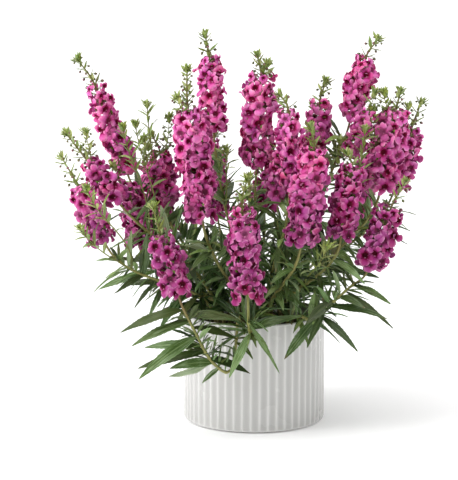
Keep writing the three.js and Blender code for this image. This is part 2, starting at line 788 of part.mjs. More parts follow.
function solidOf(geometry) {
  const bare = geometry.clone();
  bare.deleteAttribute("normal");
  bare.deleteAttribute("uv");
  const merged = mergeVertices(bare, 1e-4);
  const vertProperties = merged.attributes.position.array;
  const triVerts = new Uint32Array(merged.index.array);
  return new wasm.Manifold(new wasm.Mesh({ numProp: 3, vertProperties, triVerts }));
}

function meshOf(solid, name, material) {
  const { vertProperties, triVerts } = solid.getMesh();
  const geometry = new THREE.BufferGeometry();
  geometry.setAttribute("position", new THREE.BufferAttribute(vertProperties, 3));
  geometry.setIndex(new THREE.BufferAttribute(triVerts, 1));
  geometry.computeVertexNormals();
  const mesh = new THREE.Mesh(geometry, material);
  mesh.name = name;
  return mesh;
}

// An upright cylinder from one height to another.
function drum(radius, sides, bottom, top, x = 0, y = 0) {
  const geometry = new THREE.CylinderGeometry(radius, radius, top - bottom, sides);
  return geometry.rotateX(Math.PI / 2).translate(x, y, (bottom + top) / 2);
}

// The pot: narrow ridges between wide shallow channels, with a round cavity.
function potMesh(material) {
  const pitch = 360 / FLUTES;
  const outline = [];
  for (let flute = 0; flute < FLUTES; flute++) {
    const ridge = FIRST_RIDGE_TURN + flute * pitch;
    outline.push(level(ridge - (pitch * RIDGE_SHARE) / 2).multiplyScalar(POT_RADIUS));
    outline.push(level(ridge + (pitch * RIDGE_SHARE) / 2).multiplyScalar(POT_RADIUS));
    outline.push(level(ridge + pitch / 2).multiplyScalar(POT_RADIUS - CHANNEL_DEPTH));
  }
  const shape = new THREE.Shape(outline);
  const wall = new THREE.ExtrudeGeometry(shape, { depth: POT_HEIGHT, bevelEnabled: false });
  const cavity = drum(CAVITY_RADIUS, CAVITY_SIDES, POT_FLOOR, POT_HEIGHT + 1);
  return meshOf(solidOf(wall).subtract(solidOf(cavity)), "pot", material);
}

// The potting mix, with a plain hole for each stem.
function soilMesh(plants, material) {
  let soil = solidOf(drum(CAVITY_RADIUS - 2 * FIT_GAP, SOIL_SIDES, POT_FLOOR + FIT_GAP, SOIL_TOP));
  const holeRadius = (STEM_FOOT_RADIUS + FIT_GAP) / Math.cos(Math.PI / HOLE_SIDES);
  plants.forEach(({ spine }) => {
    const { x, y } = spine.at(0);
    const hole = drum(holeRadius, HOLE_SIDES, SOIL_TOP - PLANTING_DEPTH, SOIL_TOP + 1, x, y);
    soil = soil.subtract(solidOf(hole));
  });
  return meshOf(soil, "potting_mix", material);
}

const glaze = new THREE.MeshStandardMaterial({ color: 0xf1f1f0, roughness: 0.25 });
const peat = new THREE.MeshStandardMaterial({ color: 0x3a2c22, roughness: 0.95 });
const green = new THREE.MeshStandardMaterial({ color: 0x4a7a35, roughness: 0.6 });
const pink = new THREE.MeshStandardMaterial({ color: 0xb53689, roughness: 0.65 });

const plants = growPlant();
const group = new THREE.Group();
group.add(potMesh(glaze), soilMesh(plants, peat));
plants.forEach((plant) => group.add(stemMesh(plant, green), spikeMesh(plant, pink)));

export default group;
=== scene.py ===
"""The looks of a potted angelonia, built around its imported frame.

The layout repeats the part's source in millimetres, with the same seeded draws, so every stem, leaf and
spike stays where its solid is. Finer pieces in metres then stand for the solids.
"""

import bisect
import functools
import math

import bpy
import numpy as np
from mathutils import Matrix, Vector


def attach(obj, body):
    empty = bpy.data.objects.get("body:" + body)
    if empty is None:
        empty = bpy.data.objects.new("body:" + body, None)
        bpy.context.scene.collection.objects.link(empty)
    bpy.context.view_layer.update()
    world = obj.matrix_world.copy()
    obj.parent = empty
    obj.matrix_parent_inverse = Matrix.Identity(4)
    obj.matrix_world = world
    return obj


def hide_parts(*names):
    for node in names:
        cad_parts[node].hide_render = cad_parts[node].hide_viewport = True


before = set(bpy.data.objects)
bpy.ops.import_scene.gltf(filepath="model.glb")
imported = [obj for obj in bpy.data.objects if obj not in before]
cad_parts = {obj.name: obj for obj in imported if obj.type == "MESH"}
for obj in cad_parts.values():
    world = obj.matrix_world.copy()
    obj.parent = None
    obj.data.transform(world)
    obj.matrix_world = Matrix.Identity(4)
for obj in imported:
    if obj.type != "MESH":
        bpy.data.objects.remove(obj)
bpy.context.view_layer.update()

MM = 0.001
UP = np.array([0.0, 0.0, 1.0])

# The seeded generator, as in the source
WORD = 0xFFFFFFFF
DRAW_STEP = 0x6D2B79F5
LAYOUT_SEED = 20
SCENE_SEED = 7

# Pot, as in the source
POT_RADIUS = 95
POT_HEIGHT = 146
POT_WALL = 5.5
POT_FLOOR = 7
FLUTES = 52
FIRST_RIDGE_TURN = -93.1
RIDGE_SHARE = 0.24
CHANNEL_DEPTH = 1
CAVITY_RADIUS = POT_RADIUS - POT_WALL

# Where the corners of one flute stand, from channel to channel over a ridge, and how round the ridge is
FLUTE_STEPS = np.array(
    (-0.5, -0.4, -0.3, -0.22, -0.16, -0.12, -0.085, -0.045, 0, 0.045, 0.085, 0.12, 0.16, 0.22, 0.3, 0.4)
)
RIDGE_ROUND = 0.4
# The pot's section, up its outside and down its inside: radius, height, and share of the flutes' depth
POT_SECTION = (
    (88, 0, 0), (88.5, 1.4, 0), (92.8, 1.7, 0), (94.3, 2.3, 0), (94.9, 3.3, 0.3), (95, 4.6, 0.8),
    (95, 6, 1), (95, 142.6, 1), (94.9, 143.9, 0.7), (94.5, 145.1, 0.3), (93.6, 145.8, 0), (92.4, 146, 0),
    (91.1, 145.8, 0), (90.1, 145.1, 0), (89.6, 144, 0), (89.5, 141, 0), (89.5, 10, 0), (86.5, 7, 0),
)

# Potting mix, as in the source
SOIL_TOP = 128
FIT_GAP = 0.3
PLANTING_DEPTH = 22

# The mix's uneven top and its crumbs
SOIL_RINGS = 36
SOIL_COLUMNS = 120
SOIL_RADIUS = CAVITY_RADIUS - 2 * FIT_GAP
SOIL_SINK = 1.5
SOIL_FOOT_INSET = 2
SOIL_MIDDLE = 0.0004
SOIL_TONE = (0.5, 0, 0)
# The waves of its top: their height, their rate and start along x, and then along y
QUARTER = np.pi / 2
SOIL_WAVES = (
    (1, 0.11, 1.3, 0.13, QUARTER - 0.4),
    (0.6, 0.31, 0, 0.27, QUARTER),
    (0.6, 0.31, QUARTER, 0.27, 0),
    (0.5, 0.9, 2, 1.1, 1),
)
# The crumbs on it: how many, how far from its edge, how high they stand in shares of their size, and the draw
# above which one is a pale grain
CRUMBS = 900
CRUMB_INSET = 4
CRUMB_RISE = 0.25
PALE_FROM = 0.94
CRUMB_CORNERS = np.array([(1, 0, 0), (-1, 0, 0), (0, 1, 0), (0, -1, 0), (0, 0, 1), (0, 0, -1)], float)
CRUMB_FACES = np.array(
    [(0, 2, 4), (2, 1, 4), (1, 3, 4), (3, 0, 4), (2, 0, 5), (1, 2, 5), (3, 1, 5), (0, 3, 5)]
)
# A crumb's bearing, way out and size, how each corner is stretched, and its turn, height, paleness, shade
CRUMB_PLACE_DRAWS = ((0, 360), (0, 1), (0.7, 2.6))
CRUMB_STRETCH_DRAWS = ((0.6, 1.3),) * len(CRUMB_CORNERS)
CRUMB_DRAWS = ((0, 90), (0.5, 0.9), (0, 1), (0, 1))

# Stems, as in the source
STEM_FOOT_RADIUS = 2.4
STEM_SPIKE_RADIUS = 1.5
STEM_END_RADIUS = 0.8
SPINE_STEPS = 48
CROWN_STEPS = 5
STEM_TURN = 137.5
STRAIGHT_FOOT = 5
FOOT_SPREAD = 0.27
FOOT_LIMIT = 66
FIRST_NODE = 22
NODE_SPACING = 26
LAST_NODE = 14
NODE_GAP = 11

# Leaves, as in the source
LEAF_SLENDERNESS = 0.17
LEAF_WIDTH_MOST = 15
LEAF_OUTLINE = 0.8
LOWEST_LEAF = 76
HIGHEST_LEAF = 46
OPPOSITE_LEAF = 62
LOWEST_LIFT = -0.1
HIGHEST_LIFT = 0.2
LEAF_TRIES = 16
LEAF_SPREAD = 0.56
FIRST_SHARE = 0.35
# A leaf's share of its length, way forwards, upwards and sideways, arch and roll
LEAF_DRAWS = ((0.8, 1.15), (0, 0.8), (-0.4, 0.4), (-0.7, 0.7), (0.08, 0.22), (-40, 40))

# Side shoots, as in the source
SHOOT_RADIUS = 1.2
SHOOT_NODES = (0.46, 0.7, 0.88)
SHOOT_LEAVES = (32, 27, 20)
SHOOT_LIFT = 0.4
SHOOT_FORWARD = 0.5

# Space kept round what has grown already, as in the source
STEM_GUARD = 1.4
BUD_GUARD = 9
SPIKE_GUARD = 1.5
LEAF_GUARD = 2.8
LEAF_GUARD_START = 6
LEAF_GUARD_SHARE = 0.6
LEAF_GUARD_STEPS = 11
EDGE_INSET = 1.5
EDGE_REACH = 2
OWNER_RANGE = 18
GUARD_RANGE = 40
BEAD_STEP = 5
SHOOT_FIRST_BEAD = 3
POT_GUARD = 3

# Flower spikes, as in the source
ROW_SHARE = 0.9
ROWS_LEAST = 3
ROW_TWIST = 7
SPIKE_END_GAP = 1

# Each stem: its lowest flowers, its highest flowers, its tip above them, and the spike's radius
STEMS = (
    ((-170, 25, 327), (-213, 22, 449), (-237, 18, 486), 19),
    ((-179, -60, 304), (-218, -55, 356), (-248, -50, 394), 18),
    ((-192, -118, 257), (-226, -112, 330), (-249, -105, 369), 20),
    ((-152, -15, 231), (-167, -15, 284), (-165, -12, 299), 17),
    ((-122, 55, 284), (-128, 52, 356), (-139, 48, 380), 20),
    ((-68, -85, 281), (-87, -82, 429), (-88, -75, 480), 24),
    ((-54, -10, 386), (-60, -10, 489), (-66, -8, 520), 20),
    ((2, -32, 341), (8, -34, 467), (2, -30, 495), 25),
    ((44, -84, 324), (42, -78, 428), (30, -66, 446), 17),
    ((84, 5, 362), (87, 5, 430), (96, 5, 458), 19),
    ((58, -120, 255), (74, -116, 381), (69, -105, 410), 24),
    ((-97, -155, 194), (-120, -150, 273), (-131, -140, 311), 21),
    ((-10, -165, 190), (-18, -163, 311), (-11, -150, 347), 22),
    ((128, 10, 404), (148, 10, 488), (165, 10, 513), 20),
    ((166, -25, 312), (186, -25, 422), (192, -25, 447), 24),
    ((190, 35, 306), (213, 32, 393), (225, 25, 428), 20),
    ((110, -95, 256), (124, -95, 355), (117, -88, 373), 21),
    ((145, -95, 217), (175, -92, 300), (195, -80, 334), 22),
    ((15, 85, 269), (12, 85, 325), (11, 80, 356), 18),
    ((-50, 152, 252), (-62, 150, 362), (-66, 138, 402), 21),
    ((72, 148, 268), (82, 148, 375), (84, 138, 412), 21),
    ((147, 110, 268), (176, 105, 367), (182, 92, 405), 21),
    ((-117, 120, 231), (-147, 115, 331), (-152, 102, 370), 20),
)

# The stems that lean over the pot's rim: the place of their foot, and the places they pass through
LEANING_STEMS = {
    12: ((-20, -64), ((-22, -101, 156), (-31, -124, 94), (-56, -138, 108), (-80, -150, 155))),
    13: ((0, -50), ((-2, -100, 155), (-5, -124, 141), (-9, -148, 156))),
    18: ((42, -52), ((57, -82, 156), (76, -101, 154), (101, -109, 180), (120, -106, 197))),
}

# The leaves that give the plant its outline: stem, height on it, tip, width, lean to the viewer, arch
NAMED_LEAVES = (
    (3, 200, (-139, -97, 156), 9, 40, 3),
    (3, 213, (-179, -126, 195), 9, 40, 5),
    (4, 203, (-209, -32, 181), 14, 40, 8),
    (4, 214, (-200, -52, 226), 8, 30, 6),
    (12, 98, (-69, -144, 80), 9, 30, 2),
    (12, 106, (-110, -162, 104), 14, 60, 6),
    (12, 113, (-6, -132, 90), 14, 50, 5),
    (12, 121, (-152, -146, 100), 14, 50, 6),
    (12, 129, (-144, -116, 121), 14, 45, 6),
    (12, 143, (-149, -172, 92), 17, 55, 9),
    (12, 155, (-22, -142, 137), 14, 40, 6),
    (12, 163, (-158, -168, 134), 14, 45, 8),
    (12, 171, (-16, -140, 160), 15, 45, 8),
    (12, 179, (-172, -170, 152), 15, 45, 8),
    (13, 144, (-34, -160, 91), 13, 30, 3),
    (13, 151, (61, -132, 166), 14, 45, 5),
    (13, 160, (31, -144, 93), 14, 35, 4),
    (15, 205, (166, -48, 200), 15, 40, 10),
    (18, 156, (37, -128, 108), 15, 40, 4),
    (18, 161, (131, -146, 122), 11, 40, 8),
    (18, 167, (66, -126, 122), 12, 20, 3),
    (18, 174, (170, -135, 162), 13, 40, 9),
    (18, 181, (64, -122, 152), 16, 50, 6),
    (18, 187, (140, -137, 177), 10, 40, 5),
    (18, 194, (178, -128, 148), 9, 40, 5),
    (18, 201, (175, -116, 178), 11, 40, 7),
)

# The green shoots without flowers that show between the spikes: stem, height on it, tip
NAMED_SHOOTS = (
    (1, 285, (-143, 5, 427)),
    (2, 250, (-158, -16, 403)),
    (2, 262, (-174, -30, 400)),
    (3, 222, (-213, -160, 337)),
    (3, 234, (-221, -150, 283)),
    (7, 290, (-38, -50, 373)),
    (8, 270, (-8, -85, 342)),
    (15, 262, (143, -60, 401)),
    (17, 196, (92, -135, 259)),
)

# Twigs with buds that only the scene has: stem, height on it, tip
TWIGS = (
    (2, 352, (-220, -70, 398)),
    (5, 352, (-114, 34, 408)),
    (6, 418, (-101, -97, 445)),
    (8, 462, (17, -40, 485)),
    (14, 345, (113, -40, 383)),
    (14, 360, (141, -30, 404)),
    (15, 350, (155, -34, 424)),
    (15, 410, (167, -40, 447)),
    (16, 385, (206, 20, 423)),
    (20, 358, (-44, 142, 388)),
    (22, 362, (160, 116, 392)),
)
TWIG_BARE = 0.25

# Side branches with flowers that only the scene has: stem, height on it, tip, radius of the flowers, and
# where they start and end as shares of the branch
BRANCHES = (
    (4, 192, (-186, -34, 350), 19, 0.3, 0.86),
    (5, 235, (-143, 4, 370), 16, 0.42, 0.84),
    (9, 250, (35, -62, 392), 15, 0.42, 0.84),
    (14, 300, (158, -34, 447), 15, 0.5, 0.84),
)

# Faded leaves that only the scene has: stem, start, tip, width, arch, roll to the viewer, and paleness
LOOSE_LEAVES = (
    (12, (-56, -138, 107), (-112, -146, 90), 14, -7, 60, 1),
    (12, (-43, -131, 99), (-68, -146, 82), 9, 5, 50, 0.98),
)

# What the parts of a plant are made of: the numbers of its materials
LEAF, STALK, BUD, PETAL = range(4)
# Edges at which the surface turns by more degrees than this look sharp
SHARP_ANGLE = 75

# A blade's section, from one edge over the top to the other edge and back below: share of the half width,
# height in half thicknesses, and whether the corner is on the underside
WIDE_SECTION = (
    (1, 0, 0.3), (0.5, 1, 0), (0, 0.6, 0), (-0.5, 1, 0),
    (-1, 0, 0.3), (-0.5, -0.8, 1), (0, -2, 1), (0.5, -0.8, 1),
)
NARROW_SECTION = ((1, 0, 0.3), (0, 1, 0), (-1, 0, 0.3), (0, -1.4, 1))
# How finely a blade is made: the length above which this holds, its stations, and its section
BLADE_DETAIL = (
    (55, 25, WIDE_SECTION), (32, 15, WIDE_SECTION), (18, 8, NARROW_SECTION), (0, 5, NARROW_SECTION),
)
# Its width in shares of the solid leaf's, its thickness, and the half width below which it is thinner still
BLADE_SHARE = 0.89
BLADE_THICKNESS = 0.35
THIN_BLADE = 1.5
# The rise of its sides from the rib, its least half width, also as a share of the greatest, and where its
# twist is nought
BLADE_FOLD = 0.2
BLADE_BASE = 1.1
BLADE_BASE_SHARE = 0.6
TWIST_MIDDLE = 0.3
# The height of its waves, and then the draws of its twist, the rate of its waves and where they start
BLADE_WAVE = 0.12
BLADE_DRAWS = ((-0.5, 0.5), (7, 15), (0, 6))
# Teeth: the leaf's length above which it has them, where they are, their depth, and their lean forwards
TOOTHED_LENGTH = 32
TOOTHED_PART = (0.12, 0.94)
TOOTH_DEPTH = 0.1
TOOTH_LEAN = 0.45

# How young leaves look, from 0 to 1: a stem's highest, a shoot's from its foot to its tip, and extra ones,
# which look younger the higher they start above OLD_LEAVES
STEM_LEAF_YOUTH = 0.16
SHOOT_LEAF_YOUTH = (0.2, 0.8)
EXTRA_YOUTH = 0.35
OLD_LEAVES = 200
# The palest shade that a stem's own leaves may have, out of 1
PALEST_LARGE = 0.85

# Extra leaves that the solids leave out: small ones in the axils, and thinner ones between the nodes
AXIL_LEAVES = 3
AXIL_RISE = 1.5
AXIL_LENGTHS = (17, 38)
AXIL_LIFT = 0.4
AXIL_SLACK = 3.6
BETWEEN_LENGTHS = (34, 60)
BETWEEN_LIFTS = (-0.2, 0.3)
BETWEEN_SLACK = 2.6
BETWEEN_GAP = 15
BETWEEN_PLACES = (0.3, 0.62)
BETWEEN_SHIFTS = (-0.08, 0.08)
# Leaves drawn by rule whose tips are lower than this are left out
LOWEST_TIP = 112

# Stalks: the length between their rings, their round end, the swelling at a node, and how square a stem is
STALK_STEP = 6
STALK_END = 0.8
NODE_SWELL = 0.4
NODE_SWELL_LENGTH = 1.8
STEM_SIDES = 8
STEM_SQUARENESS = 0.08
TWIG_RADII = (0.9, 0.5)
TWIG_YOUTH = 0.3
TWIG_SIDES = 5
SHOOT_RADII = (1.15, 0.6)
SHOOT_YOUTH = 0.6
SHOOT_SIDES = 6
# How far apart the places are that give a stem's or a shoot's way, from the middle
WAY_LENGTH = 1
WAY_SHARE = 0.01

# More leaf pairs on a shoot: how far along it, and their length. Their youth from its foot to its tip
SHOOT_EXTRA = ((0.58, 22), (0.64, 20), (0.76, 20), (0.82, 18), (0.9, 16), (0.94, 15), (0.97, 13))
EXTRA_YOUTHS = (0.2, 0.9)
# Their turn round it, lean forwards, share of their length, and roll
EXTRA_DRAWS = ((-20, 20), (0.5, 1.1), (0.75, 1.15), (-30, 30))

# The width and arch of small leaves, as shares of their length
EXTRA_SHAPE = (0.24, 0.12)
BRACT_SHAPE = (0.34, -0.12)
TUFT_SHAPE = (0.38, -0.12)

# The zone of buds at a stem's tip: its rows, and the reach and size of buds and bracts from start to end
CROWN_PITCH = 6.8
CROWN_ROWS_LEAST = 3
CROWN_START = 0.4
CROWN_OVERLAP = 2
CROWN_REACHES = (9.5, 5)
CROWN_BUDS = (2.2, 1.4)
CROWN_BRACTS = (17, 12)
BRACT_YOUTHS = (0.55, 1)
# A bud's turn round the stem, share of its reach, redness and shade
BUD_PLACE_DRAWS = ((-12, 12), (0.8, 1.15), (0.2, 1), (0, 1))
# A bract's share of its length, lean forwards and roll
BRACT_DRAWS = ((0.8, 1.2), (0.5, 1.1), (-30, 30))

# A bud: its section, its nod and length in radii, and its pedicel's way out in shares of the reach
BUD_PROFILE = ((0, 0.35), (0.25, 0.85), (0.55, 1), (0.85, 0.72))
BUD_DRAWS = ((0.1, 0.9), (1.9, 2.3))
BUD_TURN = 20
BUD_SIDES = 6
BUD_PEDICEL_RADII = (0.45, 0.45, 0.45, 0.45)
BUD_PEDICEL_SIDES = 4
NECK_RISE = 0.3
NECK_REACH = 0.75
NECK_SAG = 0.08
NECK_END = 0.25

# The tufts at a tip: distance from its end, how many leaves, and their length
CROWN_TUFTS = ((7, 4, 14), (3.5, 5, 12.5), (1, 5, 9))
# A tuft leaf's turn, way up and out, share of its length, roll and youth
TUFT_DRAWS = ((-15, 15), (0.7, 1.4), (0.6, 1), (0.75, 1.1), (-20, 20), (0.7, 1))

# A flower's lobes: heading, length, half width, forward bulge and backward fall
LOBES = (
    (55, 5.6, 4.4, 0.8, 4.2),
    (125, 5.6, 4.4, 0.8, 4.2),
    (198, 7.2, 5.1, 2.8, 4.2),
    (270, 9, 6.4, 4.6, 5),
    (342, 7.2, 5.1, 2.8, 4.2),
)
# How these vary in turn, and then a lobe's lean to one side, cup, and the start of its ruffles
LOBE_DRAWS = (
    (-16, 16), (0.82, 1.14), (0.82, 1.08), (0.2, 1.7), (-0.4, 1.9), (-0.65, 0.65), (0.156, 0.884), (0, 6)
)
# A lobe's stations, its section, the share of its width that its base has, and where it is widest
LOBE_STATIONS = np.array([[0], [0.2], [0.5], [0.78], [0.95]])
LOBE_SECTION = ((1, 0), (0.45, 1), (-0.45, 1), (-1, 0), (-0.45, -1), (0.45, -1))
LOBE_BASE = 0.5
LOBE_WIDEST = 0.6
# The turn of its bulge, half its thickness, the height and rate of its ruffles, and how round its end is
LOBE_BULGE_TURN = 0.75 * np.pi
LOBE_THICKNESS = 0.25
LOBE_RUFFLE = 1.15
RUFFLE_RATE = 1.3
LOBE_ROUND = 0.1
# Where the lobes start: the distance from the flower's middle, and the shade there, from dark to light
MOUTH_RADIUS = 3.3
THROAT_SHARE = 0.16

# The throat's cup, outside and inside: radius and height, and shade from dark to light
THROAT = ((1.1, -6), (3.5, -3), (4.3, 0.3), (3.7, 0.1), (2.7, -2.2))
THROAT_SHADES = (0.5, 0.5, 0.3, 0.14, 0)
THROAT_SIDES = 8
THROAT_END = -3.4
# The calyx behind the flower and the pale spot on its lip: the radius and height of each ring
CALYX = ((0.8, -7.4), (2.1, -6.3), (2.6, -5))
CALYX_TONE = (0.5, 0.45, 0)
CALYX_BLADE = (0.5, 0.4, 0)
SPOT = ((1, 0), (0.7, 0.8))
SPOT_SIDES = 4
SPOT_END = 1.1
SPOT_PLACE = (0, -3.1, 0)
SPOT_BLADE = (0.3, 0, 1)

# Rows of flowers: how far apart they stand, and where the first and the last are
FLOWER_PITCH = 8.9
FLOWER_SPACING = 28.5
FLOWER_INSET = 3.5
FLOWER_KINDS = 12
FLOWER_ROWS_LEAST = 4
FIRST_FLOWERS = 10.5
LAST_FLOWERS = 2.5
ROW_TOP_SCALES = (0.66, 0.84, 0.94)
# Small flowers stand nearer their stem: the share of the reach that the smallest would have
SMALL_REACH = 0.5
# A flower's turn round the stem, shift along it, share of the reach, nod, spin, way to one side and size
FLOWER_DRAWS = ((-11, 11), (-2.5, 2.5), (0.76, 1.04), (-48, 22), (-30, 30), (-54, 54), (0.84, 1.26))

# Flowers deepen with age, and a painted shade darkens the lower ones and lightens the higher: the heights of
# the oldest and darkest and of the freshest and lightest
OLD_SHADED_FLOWERS = 270
FRESH_LIT_FLOWERS = 415

# A flower's pedicel and bract
FLOWER_DEPTH = 7
PEDICEL_DROP = 2
PEDICEL_SAG = 1.5
PEDICEL_RADII = (0.6, 0.5, 0.6)
PEDICEL_TONE = (0.5, 0.5, 0)
PEDICEL_SIDES = 3
FLOWER_BRACT_SHAPE = np.array((3.6, 1.5))
# Its lean forwards, length, roll and youth
FLOWER_BRACT_DRAWS = ((0.1, 0.5), (10, 16), (-30, 30), (0.3, 0.9))

# The floor, and the brightness of the studio's dome by the sine of the height above the horizon
FLOOR_RADIUS = 40
FLOOR_SIDES = 64
FLOOR_GLOW = 0.13
DOME_LIGHT = ((0, 0.03), (0.35, 0.13), (0.75, 0.9), (1, 2.3))
# Each soft sun: where its light comes from, its strength and its angular size in degrees
SUNS = (((-0.7, -0.35, 1.1), 1.15, 35), ((1.0, -0.4, 0.8), 0.25, 60))
# The softbox: its place, what it points at, its size and its power
BOX_PLACE = (-1.1, -0.5, 0.6)
BOX_TARGET = (0, 0, 0.12)
BOX_SIZE = 0.5
BOX_POWER = 6

# Camera, from the photograph's perspective
CAMERA_PLACE = (-0.034, -2.5, 0.651)
CAMERA_PITCH = 9.26
CAMERA_LENS = 141.3
CAMERA_SENSOR = 36


# Vectors, angles and draws


def vector(values):
    return np.array(values, float)


def unit(way):
    return way / np.linalg.norm(way)


def units(ways):
    return ways / np.linalg.norm(ways, axis=1)[:, None]


def cross(a, b):
    return np.array([a[1] * b[2] - a[2] * b[1], a[2] * b[0] - a[0] * b[2], a[0] * b[1] - a[1] * b[0]])


def mix(start, end, share):
    return start + (end - start) * share


def level(degrees):
    turn = math.radians(degrees)
    return np.array([math.cos(turn), math.sin(turn), 0.0])


def bearing(way):
    return math.degrees(math.atan2(way[1], way[0]))


def turned(way, axis, degrees):
    turn = math.radians(degrees)
    kept = axis * axis.dot(way) * (1 - math.cos(turn))
    return way * math.cos(turn) + cross(axis, way) * math.sin(turn) + kept


class Draws:
    """A small seeded generator of numbers, the same as in the source."""

    def __init__(self, seed):
        self.state = seed

    def __call__(self, low, high):
        self.state = (self.state + DRAW_STEP) & WORD
        value = (self.state ^ (self.state >> 15)) * (self.state | 1) & WORD
        value ^= (value + ((value ^ (value >> 7)) * (value | 61) & WORD)) & WORD
        return mix(low, high, (value ^ (value >> 14)) / (WORD + 1))

    def each(self, ranges):
        """A number from each range, in order."""
        return [self(low, high) for low, high in ranges]


# Layout, as in the source


def face_way(along, turn, face):
    """The way out of one of a stem's four faces. The first faces a level bearing as nearly as it can."""
    way = level(turn)
    way = unit(way - along * way.dot(along))
    if face % 2:
        way = cross(along, way)
    return way if face % 4 < 2 else -way


def nearest_face(along, turn, way):
    scores = [face_way(along, turn, face).dot(way) for face in range(4)]
    return scores.index(max(scores))


def curve_through(points, start_way, end_way):
    """A curve through points that leaves the first one way and reaches the last another way."""
    last = len(points) - 1
    tangents = [start_way * np.linalg.norm(points[1] - points[0])]
    tangents += [(points[k + 1] - points[k - 1]) * 0.5 for k in range(1, last)]
    tangents.append(end_way * np.linalg.norm(points[last] - points[last - 1]))

    def at(share):
        k = min(math.floor(share * last), last - 1)
        t = share * last - k
        place = points[k] * (2 * t**3 - 3 * t**2 + 1) + tangents[k] * (t**3 - 2 * t**2 + t)
        return place + points[k + 1] * (-2 * t**3 + 3 * t**2) + tangents[k + 1] * (t**3 - t**2)

    return at


class Spine:
    """A stem's centre line, from its end in the soil to its tip, measured by length along it."""

    def __init__(self, number, low, high, tip):
        spike_way = unit(high - low)
        spread = min(FOOT_SPREAD, FOOT_LIMIT / math.hypot(low[0], low[1]))
        (x, y), through = LEANING_STEMS.get(number, ((low[0] * spread, low[1] * spread), ()))
        foot = vector((x, y, SOIL_TOP + STRAIGHT_FOOT))
        rise = curve_through([foot, *map(vector, through), low], UP, spike_way)
        crown = curve_through([high, tip], spike_way, unit(tip - high))
        places = [vector((x, y, SOIL_TOP - PLANTING_DEPTH + FIT_GAP)), foot]
        places += [rise(k / SPINE_STEPS) for k in range(1, SPINE_STEPS + 1)]
        lowest = len(places) - 1
        places.append(high)
        places += [crown(k / CROWN_STEPS) for k in range(1, CROWN_STEPS + 1)]
        self.places = places
        self.lengths = [0.0]
        for before, place in zip(places, places[1:]):
            self.lengths.append(self.lengths[-1] + float(np.linalg.norm(place - before)))
        self.foot = self.lengths[1]
        self.low = self.lengths[lowest]
        self.high = self.lengths[lowest + 1]
        self.end = self.lengths[-1]

    def at(self, length):
        k = bisect.bisect_left(self.lengths, length, 1, len(self.lengths) - 1)
        share = (length - self.lengths[k - 1]) / (self.lengths[k] - self.lengths[k - 1])
        return mix(self.places[k - 1], self.places[k], share)

    def way(self, length):
        return unit(self.at(min(self.end, length + WAY_LENGTH)) - self.at(max(0, length - WAY_LENGTH)))

    def radius(self, length):
        if length < self.low:
            return mix(STEM_FOOT_RADIUS, STEM_SPIKE_RADIUS, length / self.low)
        crown = max(0, length - self.high) / (self.end - self.high)
        return mix(STEM_SPIKE_RADIUS, STEM_END_RADIUS, crown)

    def length_at_height(self, height):
        """The length at which the stem last passes a height on its way up."""
        k = len(self.places) - 1
        while k > 1 and self.places[k - 1][2] > height:
            k -= 1
        share = (height - self.places[k - 1][2]) / (self.places[k][2] - self.places[k - 1][2])
        return mix(self.lengths[k - 1], self.lengths[k], share)


class Guard:
    """Everything grown so far, as beads and rods that a new leaf has to keep clear of."""

    def __init__(self):
        self.places = np.zeros((0, 3))
        self.radii = np.zeros(0)
        self.owners = np.zeros(0, int)
        self.rods = []

    def add_beads(self, places, radii, owner=None):
        self.places = np.concatenate([self.places, np.reshape(places, (-1, 3))])
        self.radii = np.concatenate([self.radii, np.broadcast_to(radii, len(places))])
        self.owners = np.concatenate([self.owners, np.full(len(places), id(owner))])

    def touches_pot(self, places, radius):
        across = np.hypot(places[:, 0], places[:, 1])
        room = POT_GUARD + radius
        outside = (across > POT_RADIUS + room) | (places[:, 2] > POT_HEIGHT + room)
        inside = (across < CAVITY_RADIUS - room) & (places[:, 2] > SOIL_TOP + room)
        return bool((~outside & ~inside).any())

    def is_clear(self, leaf, owner, slack):
        """Whether a leaf is free of the pot and of all else, but for its owner round its start."""
        beads = leaf.beads()
        if self.touches_pot(beads, LEAF_GUARD):
            return False
        start_gaps = np.linalg.norm(self.places - leaf.start, axis=1)
        near = start_gaps < leaf.length + GUARD_RANGE
        near &= (self.owners != id(owner)) | (start_gaps > OWNER_RANGE)
        gaps = np.linalg.norm(beads[:, None] - self.places[near][None], axis=2)
        if (gaps < self.radii[near] + LEAF_GUARD - slack).any():
            return False
        for start, end, radius in self.rods:
            rod = end - start
            share = np.clip((beads - start) @ rod / rod.dot(rod), 0, 1)
            gaps = np.linalg.norm(beads - start - share[:, None] * rod, axis=1)
            if (gaps <= radius + LEAF_GUARD - slack).any():
                return False
        return True


def blade_width(share):
    """A blade's width at a share of its length, as a share of its widest."""
    return np.sin(np.pi * share**LEAF_OUTLINE) ** LEAF_OUTLINE


class Leaf:
    """A leaf from its start to its tip, arched upwards, with its top face rolled to one side."""

    def __init__(self, start, tip, width, arch, roll):
        chord = tip - start
        self.is_named = False
        self.start = start
        self.bend = (start + tip) * 0.5 + UP * arch
        self.tip = tip
        self.length = float(np.linalg.norm(chord))
        self.half_width = width / 2
        flat = level(bearing(chord) + 90)
        above = cross(unit(chord), flat)
        self.side = flat * math.cos(math.radians(roll)) + above * math.sin(math.radians(roll))

    def at(self, share):
        return self.start * (1 - share) ** 2 + self.bend * 2 * share * (1 - share) + self.tip * share**2

    def first_way(self):
        return unit(self.at(FIRST_SHARE) - self.start)

    def beads(self):
        beads = []
        first = min(LEAF_GUARD_SHARE, LEAF_GUARD_START / self.length)
        for k in range(LEAF_GUARD_STEPS):
            share = mix(first, 1, k / (LEAF_GUARD_STEPS - 1))
            centre = self.at(share)
            beads.append(centre)
            reach = self.half_width * blade_width(share) - EDGE_INSET if share < 1 else 0
            if reach >= EDGE_REACH:
                beads += [centre + self.side * reach, centre - self.side * reach]
        return np.array(beads)


